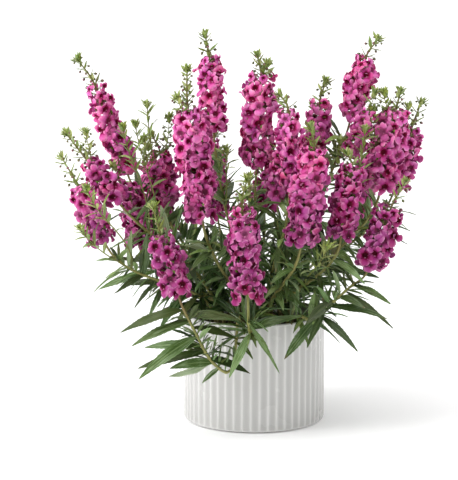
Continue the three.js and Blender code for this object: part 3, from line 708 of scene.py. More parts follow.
def draw_leaf(draw, guard, owner, start, along, outwards, length, lift, slack=0):
    """A leaf drawn by rule, out from a face, and drawn again until it has free space."""
    sideways = cross(along, outwards)
    for _ in range(LEAF_TRIES):
        share, forwards, upwards, aside, arch, roll = draw.each(LEAF_DRAWS)
        reach = length * share
        way = outwards + along * forwards + UP * (lift + upwards) + sideways * aside
        width = min(LEAF_WIDTH_MOST, reach * LEAF_SLENDERNESS)
        leaf = Leaf(start, start + unit(way) * reach, width, reach * arch, roll)
        if leaf.first_way().dot(outwards) >= LEAF_SPREAD and guard.is_clear(leaf, owner, slack):
            guard.add_beads(leaf.beads(), LEAF_GUARD)
            return leaf
    return None


class Shoot:
    """A shoot or twig that leaves its stem's face outwards and turns up to its tip."""

    def __init__(self, start, along, outwards, tip):
        chord = tip - start
        self.length = float(np.linalg.norm(chord))
        self.turn = bearing(chord) + 90
        first_way = unit(outwards + along * SHOOT_FORWARD)
        self.at = curve_through([start, tip], first_way, unit(unit(chord) + UP))
        self.nodes = []

    def way(self, share):
        return unit(self.at(min(1, share + WAY_SHARE)) - self.at(max(0, share - WAY_SHARE)))

    def beads(self):
        steps = math.ceil(self.length / BEAD_STEP)
        return [self.at(k / steps) for k in range(SHOOT_FIRST_BEAD, steps + 1)]


class Plant:
    """One stem with its spike: its centre line, and the nodes from which its leaves and shoots grow."""

    def __init__(self, number, low, high, tip, radius):
        self.number = number
        self.spine = Spine(number, low, high, tip)
        self.radius = radius
        self.turn = (number - 1) * STEM_TURN % 360
        self.nodes = []

    def is_crowded(self, length):
        gaps = [abs(node["length"] - length) for node in self.nodes if node["length"] != length]
        return min(gaps, default=NODE_GAP) < NODE_GAP

    def joint(self, height):
        """The length at which the stem passes a height, with its place and its way there."""
        length = self.spine.length_at_height(height)
        return length, self.spine.at(length), self.spine.way(length)

    def rows(self, table):
        """The rows of a table that are about this stem."""
        return [row for number, *row in table if number == self.number]


def grow_plants():
    """Where every stem, leaf and shoot of the source is."""
    guard = Guard()
    draw = Draws(LAYOUT_SEED)
    plants = []
    for number, (*corners, radius) in enumerate(STEMS, 1):
        low, high, tip = map(vector, corners)
        plant = Plant(number, low, high, tip, radius)
        plants.append(plant)
        spine = plant.spine
        lengths = np.arange(spine.foot, spine.high, BEAD_STEP)
        radii = [spine.radius(length) + STEM_GUARD for length in lengths]
        guard.add_beads([spine.at(length) for length in lengths], radii, spine)
        guard.rods += [(low, high, radius + SPIKE_GUARD), (high, tip, BUD_GUARD)]

    def draw_on(owner, place, turn, face, length, lift):
        along = owner.way(place)
        outwards = face_way(along, turn, face)
        return draw_leaf(draw, guard, owner, owner.at(place), along, outwards, length, lift)

    for number, height, tip, width, lean, arch in NAMED_LEAVES:
        plant = plants[number - 1]
        length, start, along = plant.joint(height)
        leaf = Leaf(start, vector(tip), width, arch, lean * np.sign(tip[0] - start[0]))
        leaf.is_named = True
        guard.add_beads(leaf.beads(), LEAF_GUARD)
        face = nearest_face(along, plant.turn, leaf.first_way())
        plant.nodes.append({"length": length, "face": face, "pieces": [leaf]})

    for number, height, tip in NAMED_SHOOTS:
        plant = plants[number - 1]
        length, start, along = plant.joint(height)
        face = nearest_face(along, plant.turn, vector(tip) - start)
        shoot = Shoot(start, along, face_way(along, plant.turn, face), vector(tip))
        guard.add_beads(shoot.beads(), SHOOT_RADIUS + STEM_GUARD, shoot)
        plant.nodes.append({"length": length, "face": face, "pieces": [shoot]})
        for k, (share, size) in enumerate(zip(SHOOT_NODES, SHOOT_LEAVES)):
            leaves = [draw_on(shoot, share, shoot.turn, side, size, SHOOT_LIFT) for side in (k, k + 2)]
            shoot.nodes.append((share, leaves))

    for plant in plants:
        spine = plant.spine
        for node in [node for node in plant.nodes if not plant.is_crowded(node["length"])]:
            leaf = draw_on(spine, node["length"], plant.turn, node["face"] + 2, OPPOSITE_LEAF, 0)
            node["pieces"].append(leaf)
        face = 0
        length = spine.foot + FIRST_NODE
        while length < spine.low - LAST_NODE:
            face = (face + 1) % 4
            if not plant.is_crowded(length):
                share = (length - spine.foot) / (spine.low - spine.foot)
                size = mix(LOWEST_LEAF, HIGHEST_LEAF, share)
                lift = mix(LOWEST_LIFT, HIGHEST_LIFT, share)
                sides = (face, face + 2)
                leaves = [draw_on(spine, length, plant.turn, side, size, lift) for side in sides]
                plant.nodes.append({"length": length, "face": face, "pieces": leaves})
            length += NODE_SPACING
        plant.nodes.sort(key=lambda node: node["length"])
    return plants, guard


# Surfaces


@functools.lru_cache(None)
def tube_faces(rings, sides, pointed):
    """The triangles of a tube whose rings run anticlockwise as seen from its far end."""
    faces = []
    for ring in range(rings - 1):
        for side in range(sides):
            a = ring * sides + side
            b = ring * sides + (side + 1) % sides
            faces += [(a, b, b + sides), (a, b + sides, a + sides)]
    faces += [(0, side + 1, side) for side in range(1, sides - 1)]
    last = (rings - 1) * sides
    if pointed:
        faces += [(last + side, last + (side + 1) % sides, rings * sides) for side in range(sides)]
    else:
        faces += [(last, last + side, last + side + 1) for side in range(1, sides - 1)]
    return np.array(faces)


def channels(*values):
    """The colours of a tube's corners, from the values of their three channels."""
    return np.stack(np.broadcast_arrays(*values), axis=-1)


def turned_rings(profile, sides):
    """The rings of a turned shape, from the radius and height of each."""
    turns = np.arange(sides) * 2 * np.pi / sides
    circle = np.stack([np.cos(turns), np.sin(turns), 0 * turns], axis=1)
    return np.array([circle * radius + UP * height for radius, height in profile])


class Surface:
    """The triangles of one piece. Blade and Tone are what its materials read at each corner."""

    def __init__(self):
        self.parts = []
        self.count = 0

    def add(self, places, faces, blade, tone, material):
        blade, tone = (np.broadcast_to(colour, (len(places), 3)) for colour in (blade, tone))
        materials = np.broadcast_to(material, len(faces))
        self.parts.append((places, faces + self.count, blade, tone, materials))
        self.count += len(places)

    def add_tube(self, rings, blades, tone, material, tip=None, tip_blade=None):
        """A closed tube through rings of corners, with a flat end or a pointed one."""
        places = rings.reshape(-1, 3)
        blades = np.broadcast_to(blades, rings.shape).reshape(-1, 3)
        if tip is not None:
            places = np.vstack([places, tip])
            blades = np.vstack([blades, blades[-1] if tip_blade is None else tip_blade])
        self.add(places, tube_faces(*rings.shape[:2], tip is not None), blades, tone, material)

    def joined(self):
        return [np.concatenate(rows) for rows in zip(*self.parts)]

    def piece(self, name, node, slot, looks):
        """The finished object, which stands for a node of the frame."""
        places, faces, blades, tones, materials = self.joined()
        mesh = bpy.data.meshes.new(name)
        mesh.vertices.add(len(places))
        mesh.vertices.foreach_set("co", (places * MM).astype(np.float32).ravel())
        mesh.loops.add(faces.size)
        mesh.loops.foreach_set("vertex_index", faces.astype(np.int32).ravel())
        mesh.polygons.add(len(faces))
        mesh.polygons.foreach_set("loop_start", np.arange(0, faces.size, 3, dtype=np.int32))
        mesh.polygons.foreach_set("material_index", materials.astype(np.int32))
        for title, colours in (("Blade", blades), ("Tone", tones)):
            layer = mesh.color_attributes.new(title, "FLOAT_COLOR", "POINT")
            layer.data.foreach_set("color", np.insert(colours, 3, 1, axis=1).astype(np.float32).ravel())
        mesh.update(calc_edges=True)
        mesh.shade_smooth()
        mesh.set_sharp_from_angle(angle=math.radians(SHARP_ANGLE))
        for look in looks:
            mesh.materials.append(look)
        piece = put(mesh)
        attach(piece, "root")
        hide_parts(node)


def put(data):
    """A new object in the scene."""
    thing = bpy.data.objects.new(data.name, data)
    bpy.context.scene.collection.objects.link(thing)
    return thing


# Leaves, stalks and buds


def add_blade(surface, leaf, tone, draw):
    """A leaf's blade: folded along its rib, twisted and waved a little, and toothed where it is large."""
    stations, section = next(detail for least, *detail in BLADE_DETAIL if leaf.length > least)
    offset, rise, under = np.array(section).T
    steps = np.arange(stations)
    shares = steps / stations
    toothed = (steps % 2 == 1) & (shares > TOOTHED_PART[0]) & (shares < TOOTHED_PART[1])
    toothed &= leaf.length > TOOTHED_LENGTH
    shares = shares + toothed * TOOTH_LEAN / stations
    widths = leaf.half_width * BLADE_SHARE * blade_width(shares) * (1 + toothed * TOOTH_DEPTH)
    widths = np.maximum(widths, min(BLADE_BASE, leaf.half_width * BLADE_BASE_SHARE))
    share = shares[:, None]
    ways = (leaf.bend - leaf.start) * (1 - share) + (leaf.tip - leaf.bend) * share
    tops = units(np.cross(ways, leaf.side))
    twist, rate, phase = draw.each(BLADE_DRAWS)
    twist = twist * (share - TWIST_MIDDLE)
    sides = leaf.side * np.cos(twist) + tops * np.sin(twist)
    tops = tops * np.cos(twist) - leaf.side * np.sin(twist)
    wave = BLADE_WAVE * np.sin(share * rate + phase)
    lateral = widths[:, None] * offset
    thickness = BLADE_THICKNESS * np.minimum(1, widths / THIN_BLADE)
    height = np.abs(lateral) * (BLADE_FOLD + wave * np.sign(offset)) + thickness[:, None] * rise
    rings = sides[:, None] * lateral[..., None] + tops[:, None] * height[..., None]
    rings = rings + leaf.at(share)[:, None]
    surface.add_tube(rings, channels(share, np.abs(offset), under), tone, LEAF, leaf.tip, (1, 0, 0))


def leaf_tone(draw, youth, palest=1):
    return (draw(0, palest), youth, draw(0, 1))


def add_leaflet(surface, start, heading, length, shape, roll, youth, draw):
    """A small leaf that only the scene has. Its shape is its width and arch in shares of its length."""
    width, arch = shape
    leaf = Leaf(start, start + unit(heading) * length, length * width, length * arch, roll)
    add_blade(surface, leaf, leaf_tone(draw, youth), draw)


def add_stalk(surface, places, turn, radii, tone, sides, squareness=0, material=STALK):
    """A stalk through places, round or a little square. Its Blade says how far along it a corner is."""
    places = np.asarray(places)
    ways = units(np.gradient(places, axis=0))
    first = units(level(turn) - ways * (ways @ level(turn))[:, None])
    second = np.cross(ways, first)
    angles = np.arange(sides) * 2 * np.pi / sides + np.pi / 4
    reach = np.asarray(radii)[:, None] * (1 - squareness * np.cos(4 * angles))
    rings = places[:, None] + first[:, None] * (reach * np.cos(angles))[..., None]
    rings = rings + second[:, None] * (reach * np.sin(angles))[..., None]
    share = np.linspace(0, 1, len(places))[:, None]
    tip = places[-1] + ways[-1] * radii[-1] * STALK_END
    surface.add_tube(rings, channels(share, 0, 0), tone, material, tip)


def add_shoot_stalk(surface, shoot, radii, youth, sides, draw):
    places = [shoot.at(share) for share in np.linspace(0, 1, math.ceil(shoot.length / STALK_STEP))]
    tone = (draw(0, 1), youth, 0)
    add_stalk(surface, places, shoot.turn, np.linspace(*radii, len(places)), tone, sides)


def add_bud(surface, start, way, outwards, reach, radius, tone, draw):
    """A round bud on a thin pedicel that curves up from its stem."""
    nod, length = draw.each(BUD_DRAWS)
    neck = start + way * reach * NECK_RISE + outwards * reach * NECK_REACH
    end = neck + unit(outwards - way * nod) * reach * NECK_END
    middle = (start + neck) / 2 - way * reach * NECK_SAG
    add_stalk(surface, [start, middle, neck, end], 0, BUD_PEDICEL_RADII, tone, BUD_PEDICEL_SIDES)
    axis = unit(end - neck) * radius * length
    places = [end + axis * share for share, _ in BUD_PROFILE]
    radii = [radius * share for _, share in BUD_PROFILE]
    add_stalk(surface, places, BUD_TURN, radii, tone, BUD_SIDES, material=BUD)


def add_tufts(surface, stretch, turn, draw):
    """Small young leaves that stand close together at a tip."""
    way = stretch.way(1)
    for back, count, size in CROWN_TUFTS:
        place = stretch.at(1 - back / stretch.span)
        for k in range(count):
            aside, up, out, part, roll, youth = draw.each(TUFT_DRAWS)
            side = level(turn + 360 / count * k + aside)
            heading = way * up + unit(side - way * side.dot(way)) * out
            add_leaflet(surface, place, heading, size * part, TUFT_SHAPE, roll, youth, draw)


class Stretch:
    """A stretch of a stem or shoot, measured by shares from its start to its end, and its length."""

    def __init__(self, path, start, end, span):
        self.path = path
        self.start = start
        self.end = end
        self.span = span

    def at(self, share):
        return self.path.at(mix(self.start, self.end, share))

    def way(self, share):
        return self.path.way(mix(self.start, self.end, share))


def add_crown(surface, stretch, turn, draw):
    """The bud zone of a stem or twig: bracts and buds in opposite pairs, and tufts at the tip."""
    rows = max(CROWN_ROWS_LEAST, round(stretch.span / CROWN_PITCH))
    for row in range(rows):
        share = (row + CROWN_START) / rows
        start = stretch.at(share)
        along = stretch.way(share)
        for side in (row, row + 2):
            aside, part, red, chance = draw.each(BUD_PLACE_DRAWS)
            outwards = face_way(along, turn + aside, side)
            reach = mix(*CROWN_REACHES, share) * part
            tone = (chance, share, red * (1 - share / 2))
            add_bud(surface, start, along, outwards, reach, mix(*CROWN_BUDS, share), tone, draw)
            part, lean, roll = draw.each(BRACT_DRAWS)
            length = mix(*CROWN_BRACTS, share) * part
            youth = mix(*BRACT_YOUTHS, share)
            add_leaflet(surface, start, outwards + along * lean, length, BRACT_SHAPE, roll, youth, draw)
    add_tufts(surface, stretch, turn, draw)


def side_shoot(plant, height, tip):
    """A twig or side branch, which leaves its stem straight towards its tip."""
    _, start, along = plant.joint(height)
    side = vector(tip) - start
    return Shoot(start, along, unit(side - along * side.dot(along)), vector(tip))


def add_twig(surface, twig, bare, draw):
    """A small side twig, with buds and bracts past its bare share."""
    add_shoot_stalk(surface, twig, TWIG_RADII, TWIG_YOUTH, TWIG_SIDES, draw)
    add_crown(surface, Stretch(twig, bare, 1, twig.length * (1 - bare)), twig.turn, draw)


def add_shoot(surface, shoot, draw):
    """A green shoot with the source's leaves, and more pairs between them and its tip."""
    add_shoot_stalk(surface, shoot, SHOOT_RADII, SHOOT_YOUTH, SHOOT_SIDES, draw)
    for share, leaves in shoot.nodes:
        for leaf in leaves:
            if leaf is not None:
                add_blade(surface, leaf, leaf_tone(draw, mix(*SHOOT_LEAF_YOUTH, share)), draw)
    for k, (share, size) in enumerate(SHOOT_EXTRA):
        along = shoot.way(share)
        for side in (k, k + 2):
            turn, lean, part, roll = draw.each(EXTRA_DRAWS)
            heading = face_way(along, shoot.turn + turn, side) + along * lean
            youth = mix(*EXTRA_YOUTHS, share)
            add_leaflet(surface, shoot.at(share), heading, size * part, EXTRA_SHAPE, roll, youth, draw)
    add_tufts(surface, Stretch(shoot, 0, 1, shoot.length), shoot.turn, draw)


def grow_extra(plant, guard, draw):
    """Leaves of one stem that only the scene has, each kept out of what has grown."""
    spine = plant.spine
    leaves = []

    def grow(length, face, reach, lift, slack):
        along = spine.way(length)
        outwards = face_way(along, plant.turn, face)
        leaf = draw_leaf(draw, guard, spine, spine.at(length), along, outwards, reach, lift, slack)
        if leaf is not None and leaf.tip[2] > LOWEST_TIP:
            leaves.append(leaf)

    for node in plant.nodes:
        for side in (node["face"], node["face"] + 2):
            for _ in range(AXIL_LEAVES):
                grow(node["length"] + AXIL_RISE, side, draw(*AXIL_LENGTHS), AXIL_LIFT, AXIL_SLACK)
    lengths = [node["length"] for node in plant.nodes]
    for before, after in zip(lengths, [*lengths[1:], spine.low]):
        if after - before <= BETWEEN_GAP:
            continue
        for share in BETWEEN_PLACES:
            middle = mix(before, after, share + draw(*BETWEEN_SHIFTS))
            face = math.floor(draw(0, 4))
            for side in (face, face + 2):
                grow(middle, side, draw(*BETWEEN_LENGTHS), draw(*BETWEEN_LIFTS), BETWEEN_SLACK)
    return leaves


def add_stem(plant, guard, draw):
    """A leafy stem: its stalk, its leaves and shoots, and the buds above its flowers."""
    surface = Surface()
    spine = plant.spine
    nodes = np.array([node["length"] for node in plant.nodes])
    near_nodes = [nodes - NODE_SWELL_LENGTH, nodes, nodes + NODE_SWELL_LENGTH]
    lengths = np.concatenate([np.arange(0, spine.end, STALK_STEP), *near_nodes, [spine.end]])
    lengths = np.unique(np.round(lengths, 1))
    swell = np.exp(-(((lengths[:, None] - nodes) / NODE_SWELL_LENGTH) ** 2)).sum(1) * NODE_SWELL
    radii = np.array([spine.radius(length) for length in lengths]) * (1 + np.minimum(swell, NODE_SWELL))
    places = [spine.at(length) for length in lengths]
    add_stalk(surface, places, plant.turn, radii, (draw(0, 1), 0, 0), STEM_SIDES, STEM_SQUARENESS)
    for node in plant.nodes:
        for piece in node["pieces"]:
            if isinstance(piece, Shoot):
                add_shoot(surface, piece, draw)
            elif piece is not None and (piece.is_named or piece.tip[2] > LOWEST_TIP):
                youth = STEM_LEAF_YOUTH * (node["length"] / spine.low) ** 2
                add_blade(surface, piece, leaf_tone(draw, youth, PALEST_LARGE), draw)
    for leaf in grow_extra(plant, guard, draw):
        youth = EXTRA_YOUTH * (draw(0, 1) ** 2 + max(0, leaf.start[2] / OLD_LEAVES - 1))
        add_blade(surface, leaf, leaf_tone(draw, youth), draw)
    span = spine.end - spine.high + CROWN_OVERLAP
    add_crown(surface, Stretch(spine, spine.end - span, spine.end, span), plant.turn, draw)
    for height, tip in plant.rows(TWIGS):
        add_twig(surface, side_shoot(plant, height, tip), TWIG_BARE, draw)
    for height, tip, _, _, high in plant.rows(BRANCHES):
        add_twig(surface, side_shoot(plant, height, tip), high, draw)
    for start, tip, width, arch, roll, paleness in plant.rows(LOOSE_LEAVES):
        add_blade(surface, Leaf(vector(start), vector(tip), width, arch, roll), (paleness, 0, 0), draw)
    return surface


# Flowers


def flower_kind(draw):
    """The corners, faces, colours and materials of a flower that faces along z, small lobes up."""
    surface = Surface()
    zero = (0, 0, 0)
    station = LOBE_STATIONS
    offset, rise = np.array(LOBE_SECTION).T
    spread = mix(LOBE_BASE, 1, np.sin(np.minimum(station / LOBE_WIDEST, 1) * np.pi / 2))
    spread = spread * np.sqrt(1 - np.clip((station - LOBE_WIDEST) / (1 - LOBE_WIDEST), 0, 1) ** 2)
    for heading, *sizes in LOBES:
        turn, *parts, lean, cup, ruffle = draw.each(LOBE_DRAWS)
        out = level(heading + turn)
        side = cross(UP, out)
        length, half_width, bulge, fall = np.multiply(sizes, parts)
        lateral = half_width * spread * offset
        height = bulge * np.sin(station * LOBE_BULGE_TURN) - fall * station**2
        height = height - cup * np.abs(lateral * offset) + lean * lateral * station
        height = height + LOBE_RUFFLE * station * np.sin(lateral * RUFFLE_RATE + ruffle) * np.abs(offset)
        height = height + LOBE_THICKNESS * rise
        reach = MOUTH_RADIUS + length * station - LOBE_ROUND * np.abs(lateral) * station
        rings = out * reach[..., None] + side * lateral[..., None] + UP * height[..., None]
        blades = channels(mix(THROAT_SHARE, 1, station), np.abs(offset), 0)
        tip = out * (MOUTH_RADIUS + length) + UP * (bulge * math.sin(LOBE_BULGE_TURN) - fall)
        surface.add_tube(rings, blades, zero, PETAL, tip, (1, 1, 0))
    shades = channels(np.array(THROAT_SHADES)[:, None], 0, 0)
    surface.add_tube(turned_rings(THROAT, THROAT_SIDES), shades, zero, PETAL, UP * THROAT_END, zero)
    surface.add_tube(turned_rings(CALYX, THROAT_SIDES), CALYX_BLADE, CALYX_TONE, LEAF)
    spot = turned_rings(SPOT, SPOT_SIDES) + vector(SPOT_PLACE)
    surface.add_tube(spot, SPOT_BLADE, zero, PETAL, vector(SPOT_PLACE) + UP * SPOT_END)
    return surface.joined()


def add_flower(surface, kinds, mouth, facing, up, size, age_and_height_shade, draw):
    """A flower of a drawn kind. Its calyx keeps its own tone."""
    tone = (draw(0, 1), age_and_height_shade, draw(0, 1))
    places, faces, blades, tones, materials = kinds[math.floor(draw(0, FLOWER_KINDS))]
    places = mouth + (places * size) @ np.stack([cross(up, facing), up, facing])
    surface.add(places, faces, blades, np.where(tones[:, 1:2] > 0, tones, tone), materials)


def add_flowers(surface, kinds, stretch, radius, first_turn, twist, draw):
    """Rows of flowers round a stem, each on its pedicel above a small bract."""
    each = round((radius - FLOWER_INSET) * 2 * math.pi / FLOWER_SPACING)
    low = FIRST_FLOWERS / stretch.span
    high = 1 - LAST_FLOWERS / stretch.span
    rows = max(FLOWER_ROWS_LEAST, 1 + round(stretch.span * (high - low) / FLOWER_PITCH))
    along = stretch.way(0.5)
    for row in range(rows):
        share = mix(low, high, row / (rows - 1))
        from_top = rows - 1 - row
        scale = ROW_TOP_SCALES[from_top] if from_top < len(ROW_TOP_SCALES) else 1
        for k in range(each):
            turn, shift, part, nod, spin, aside, size = draw.each(FLOWER_DRAWS)
            turn += first_turn + twist * share + 360 / each * (k + row % 2 / 2)
            outwards = face_way(along, turn, 0)
            place = stretch.at(share + shift / stretch.span)
            mouth = place + outwards * (radius - FLOWER_INSET) * part * mix(SMALL_REACH, 1, scale)
            up = turned(turned(along, cross(outwards, along), nod), outwards, spin)
            facing = turned(unit(outwards - up * outwards.dot(up)), up, aside)
            size *= scale
            # Painted shade and light by height, standing also for age: lower flowers darker, higher ones
            # lighter
            age_and_height_shade = min(1, max(0, (place[2] - OLD_SHADED_FLOWERS) / (FRESH_LIT_FLOWERS - OLD_SHADED_FLOWERS)))
            add_flower(surface, kinds, mouth, facing, up, size, age_and_height_shade, draw)
            back = mouth - facing * FLOWER_DEPTH * size
            first = place - along * PEDICEL_DROP
            middle = mix(first, back, 0.5) - along * PEDICEL_SAG
            add_stalk(surface, [first, middle, back], turn, PEDICEL_RADII, PEDICEL_TONE, PEDICEL_SIDES)
            lean, length, roll, youth = draw.each(FLOWER_BRACT_DRAWS)
            shape = FLOWER_BRACT_SHAPE / length
            add_leaflet(surface, first, outwards + along * lean, length, shape, roll, youth, draw)


def add_spike(plant, kinds, draw):
    """All flowers of one stem, those of its side branch among them."""
    surface = Surface()
    spine = plant.spine
    start = spine.low + SPIKE_END_GAP
    end = spine.high - SPIKE_END_GAP
    twist = ROW_TWIST * max(ROWS_LEAST, math.floor((end - start) / (ROW_SHARE * plant.radius) + 0.5))
    stretch = Stretch(spine, start, end, end - start)
    add_flowers(surface, kinds, stretch, plant.radius, plant.turn, twist, draw)
    for height, tip, radius, low, high in plant.rows(BRANCHES):
        branch = side_shoot(plant, height, tip)
        stretch = Stretch(branch, low, high, branch.length * (high - low))
        add_flowers(surface, kinds, stretch, radius, plant.turn, twist, draw)
    return surface


# Pot and potting mix


def pot_surface():
    surface = Surface()
    steps = (np.arange(FLUTES)[:, None] + FLUTE_STEPS).ravel()
    turns = np.radians(FIRST_RIDGE_TURN + steps * 360 / FLUTES)
    from_ridge = np.abs(np.tile(FLUTE_STEPS, FLUTES))
    ridge = RIDGE_SHARE / 2
    channel = np.clip((0.5 - from_ridge) / (0.5 - ridge), 0, 1)
    deep = mix(RIDGE_ROUND, CHANNEL_DEPTH, 1 - channel**3)
    depth = np.where(from_ridge > ridge, deep, RIDGE_ROUND * (from_ridge / ridge) ** 2)
    radii, heights, fluted = np.array(POT_SECTION).T[..., None]
    radii = radii - fluted * depth
    rings = channels(radii * np.cos(turns), radii * np.sin(turns), heights)
    blades = channels(depth / CHANNEL_DEPTH * fluted, heights / POT_HEIGHT, 0)
    surface.add_tube(rings, blades, (0, 0, 0), 0)
    return surface


def soil_height(x, y):
    """The uneven top of the potting mix, from waves of three sizes."""
    top = SOIL_TOP - SOIL_SINK
    for height, x_rate, x_start, y_rate, y_start in SOIL_WAVES:
        top = top + height * np.sin(x * x_rate + x_start) * np.sin(y * y_rate + y_start)
    return top


def soil_surface(draw):
    """The potting mix, with its uneven top and loose crumbs on it."""
    surface = Surface()
    radii = SOIL_RADIUS * np.sqrt(np.linspace(1, SOIL_MIDDLE, SOIL_RINGS))
    radii = np.concatenate([[SOIL_RADIUS - SOIL_FOOT_INSET, SOIL_RADIUS], radii])
    rings = turned_rings([(radius, 0) for radius in radii], SOIL_COLUMNS)
    rings[..., 2] = soil_height(rings[..., 0], rings[..., 1])
    rings[:2, :, 2] = POT_FLOOR + FIT_GAP
    surface.add_tube(rings, (0, 0, 0), SOIL_TONE, 0)
    for _ in range(CRUMBS):
        way, out, size = draw.each(CRUMB_PLACE_DRAWS)
        x, y, _ = level(way) * (SOIL_RADIUS - CRUMB_INSET) * math.sqrt(out)
        place = vector((x, y, soil_height(x, y) + size * CRUMB_RISE))
        corners = CRUMB_CORNERS * np.array(draw.each(CRUMB_STRETCH_DRAWS))[:, None] * size
        turn, height, paleness, chance = draw.each(CRUMB_DRAWS)
        ways = np.stack([level(turn), level(turn + 90), UP * height])
        tone = (chance, paleness > PALE_FROM, 0)
        surface.add(place + corners @ ways, CRUMB_FACES, (0, 0, 0), tone, 0)
    return surface


# Looks


class Nodes:
    """Short calls for the nodes of a material or of the world."""

    def __init__(self, tree):
        self.tree = tree

    def node(self, kind, inputs=(), **settings):
        node = self.tree.nodes.new("ShaderNode" + kind)
        for setting, value in settings.items():
            setattr(node, setting, value)
        for socket, value in dict(inputs).items():
            self.feed(node.inputs[socket], value)
        return node

    def feed(self, socket, value):
        if isinstance(value, bpy.types.NodeSocket):
            self.tree.links.new(value, socket)
        else:
            socket.default_value = value

    def ramp(self, factor, stops):
        node = self.node("ValToRGB", {"Fac": factor})
        elements = node.color_ramp.elements
        while len(elements) < len(stops):
            elements.new(0.5)
        for element, (position, colour) in zip(elements, stops):
            element.position = position
            element.color = (*colour, 1)
        return node.outputs["Color"]


class Look(Nodes):
    """A material whose colour is painted layer by layer."""

    def __init__(self, name, specular, roughness=0.5):
        self.material = bpy.data.materials.new(name)
        self.material.use_nodes = True
        super().__init__(self.material.node_tree)
        self.shader = self.tree.nodes["Principled BSDF"]
        self.shader.inputs["Roughness"].default_value = roughness
        self.shader.inputs["Specular IOR Level"].default_value = specular
        self.place = self.node("TexCoord").outputs["Object"]
        self.colour = None

    def reading(self, title):
        """The three channels of a colour that each corner carries."""
        colour = self.node("VertexColor", layer_name=title).outputs["Color"]
        return self.node("SeparateColor", {"Color": colour}).outputs[:3]

    def noise(self, scale, detail=3, place=None):
        vector = self.place if place is None else place
        return self.node("TexNoise", {"Vector": vector, "Scale": scale, "Detail": detail}).outputs["Fac"]

    def scale(self, value, low, high, start=0, end=1):
        """Value carried from the range low to high to the range start to end."""
        ends = {"Value": value, "From Min": low, "From Max": high, "To Min": start, "To Max": end}
        return self.node("MapRange", ends).outputs["Result"]

    def math(self, operation, *values):
        return self.node("Math", enumerate(values), operation=operation).outputs["Value"]

    def product(self, *values):
        return functools.reduce(lambda first, second: self.math("MULTIPLY", first, second), values)

    def paint(self, factor, colour, way="MIX"):
        """Mixes a colour into the look's own by a factor."""
        if isinstance(colour, tuple):
            colour = (*colour, 1)
        inputs = {0: factor, 6: self.colour, 7: colour}
        self.colour = self.node("Mix", inputs, data_type="RGBA", blend_type=way).outputs[2]

    def bump(self, height, strength, distance):
        sockets = {"Height": height, "Strength": strength, "Distance": distance}
        self.feed(self.shader.inputs["Normal"], self.node("Bump", sockets).outputs["Normal"])

    def vary_roughness(self, low, high, scale, detail=3):
        roughness = self.scale(self.noise(scale, detail), 0.3, 0.7, low, high)
        self.feed(self.shader.inputs["Roughness"], roughness)

    def finish(self):
        self.feed(self.shader.inputs["Base Color"], self.colour)
        return self.material


def leaf_look():
    look = Look("leaf", 0.33)
    along, across, under = look.reading("Blade")
    chance, youth, ripeness = look.reading("Tone")
    greens = (
        (0, (0.003, 0.012, 0.001)), (0.4, (0.016, 0.056, 0.004)), (0.75, (0.084, 0.205, 0.024)),
        (0.92, (0.31, 0.44, 0.2)), (1, (0.52, 0.57, 0.39)),
    )
    yellows = ((0, (0.3, 0.42, 0.05)), (0.5, (0.52, 0.6, 0.12)), (1, (0.74, 0.78, 0.3)))
    look.colour = look.ramp(chance, greens)
    look.paint(youth, look.ramp(ripeness, yellows))
    # Dark streaks that run along the blade, and pale patches along it that are a painted sheen
    on_blade = {"X": look.product(along, 3), "Y": look.product(across, 4), "Z": look.product(chance, 40)}
    streaks = look.noise(1.3, 3, look.node("CombineXYZ", on_blade).outputs["Vector"])
    look.paint(look.scale(streaks, 0.4, 0.68, 0, 0.6), (0.006, 0.034, 0.002))
    light = look.scale(chance, 0.15, 0.68, 0.1, 1.15)
    # Painted sheen: pale patches, stronger on lighter leaves
    look.paint(look.product(look.scale(streaks, 0.5, 0.34, 0, 0.5), light), (0.38, 0.5, 0.3))
    # A paler edge that is a painted highlight, and a tip that is dry on some leaves
    look.paint(look.product(look.scale(across, 0.72, 1, 0, 0.36), light), (0.3, 0.45, 0.2))
    dry = look.product(look.scale(along, 0.88, 0.97), look.scale(look.noise(25, 1), 0.56, 0.6))
    look.paint(dry, (0.13, 0.075, 0.03))
    look.paint(look.scale(along, 0.75, 1, 0, 0.15), (0.12, 0.2, 0.04))
    # The rib, the veins that slant from it, and the paler underside
    look.paint(look.product(look.scale(across, 0.16, 0.02), 0.5, light), (0.27, 0.38, 0.14))
    slant = look.math("MULTIPLY_ADD", across, -0.16, along)
    veins = look.scale(look.math("SINE", look.product(slant, 80)), 0.72, 1)
    look.paint(look.product(veins, 0.14, light), (0.27, 0.4, 0.15))
    look.paint(look.product(under, 0.4, light), (0.14, 0.23, 0.09))
    look.bump(look.math("MULTIPLY_ADD", veins, -0.6, look.noise(1400, 2)), 0.35, 0.0004)
    look.vary_roughness(0.28, 0.48, 260)
    return look.finish()


def stalk_look():
    look = Look("stalk", 0.3)
    along = look.reading("Blade")[0]
    chance, youth, _ = look.reading("Tone")
    browns_and_greens = (
        (0, (0.3, 0.24, 0.11)), (0.2, (0.36, 0.36, 0.12)), (0.68, (0.29, 0.31, 0.09)),
        (0.84, (0.24, 0.14, 0.07)), (1, (0.2, 0.24, 0.06)),
    )
    look.colour = look.ramp(along, browns_and_greens)
    look.paint(youth, (0.2, 0.3, 0.06))
    long_way = look.node("Mapping", {"Vector": look.place, "Scale": (1, 1, 0.08)}).outputs["Vector"]
    streaks = look.scale(look.noise(900, 3, long_way), 0.35, 0.65)
    look.paint(look.product(streaks, 0.25), (0.12, 0.1, 0.035))
    look.paint(look.product(chance, 0.2), (0.22, 0.13, 0.07))
    look.bump(streaks, 0.3, 0.0004)
    look.vary_roughness(0.42, 0.62, 300)
    return look.finish()


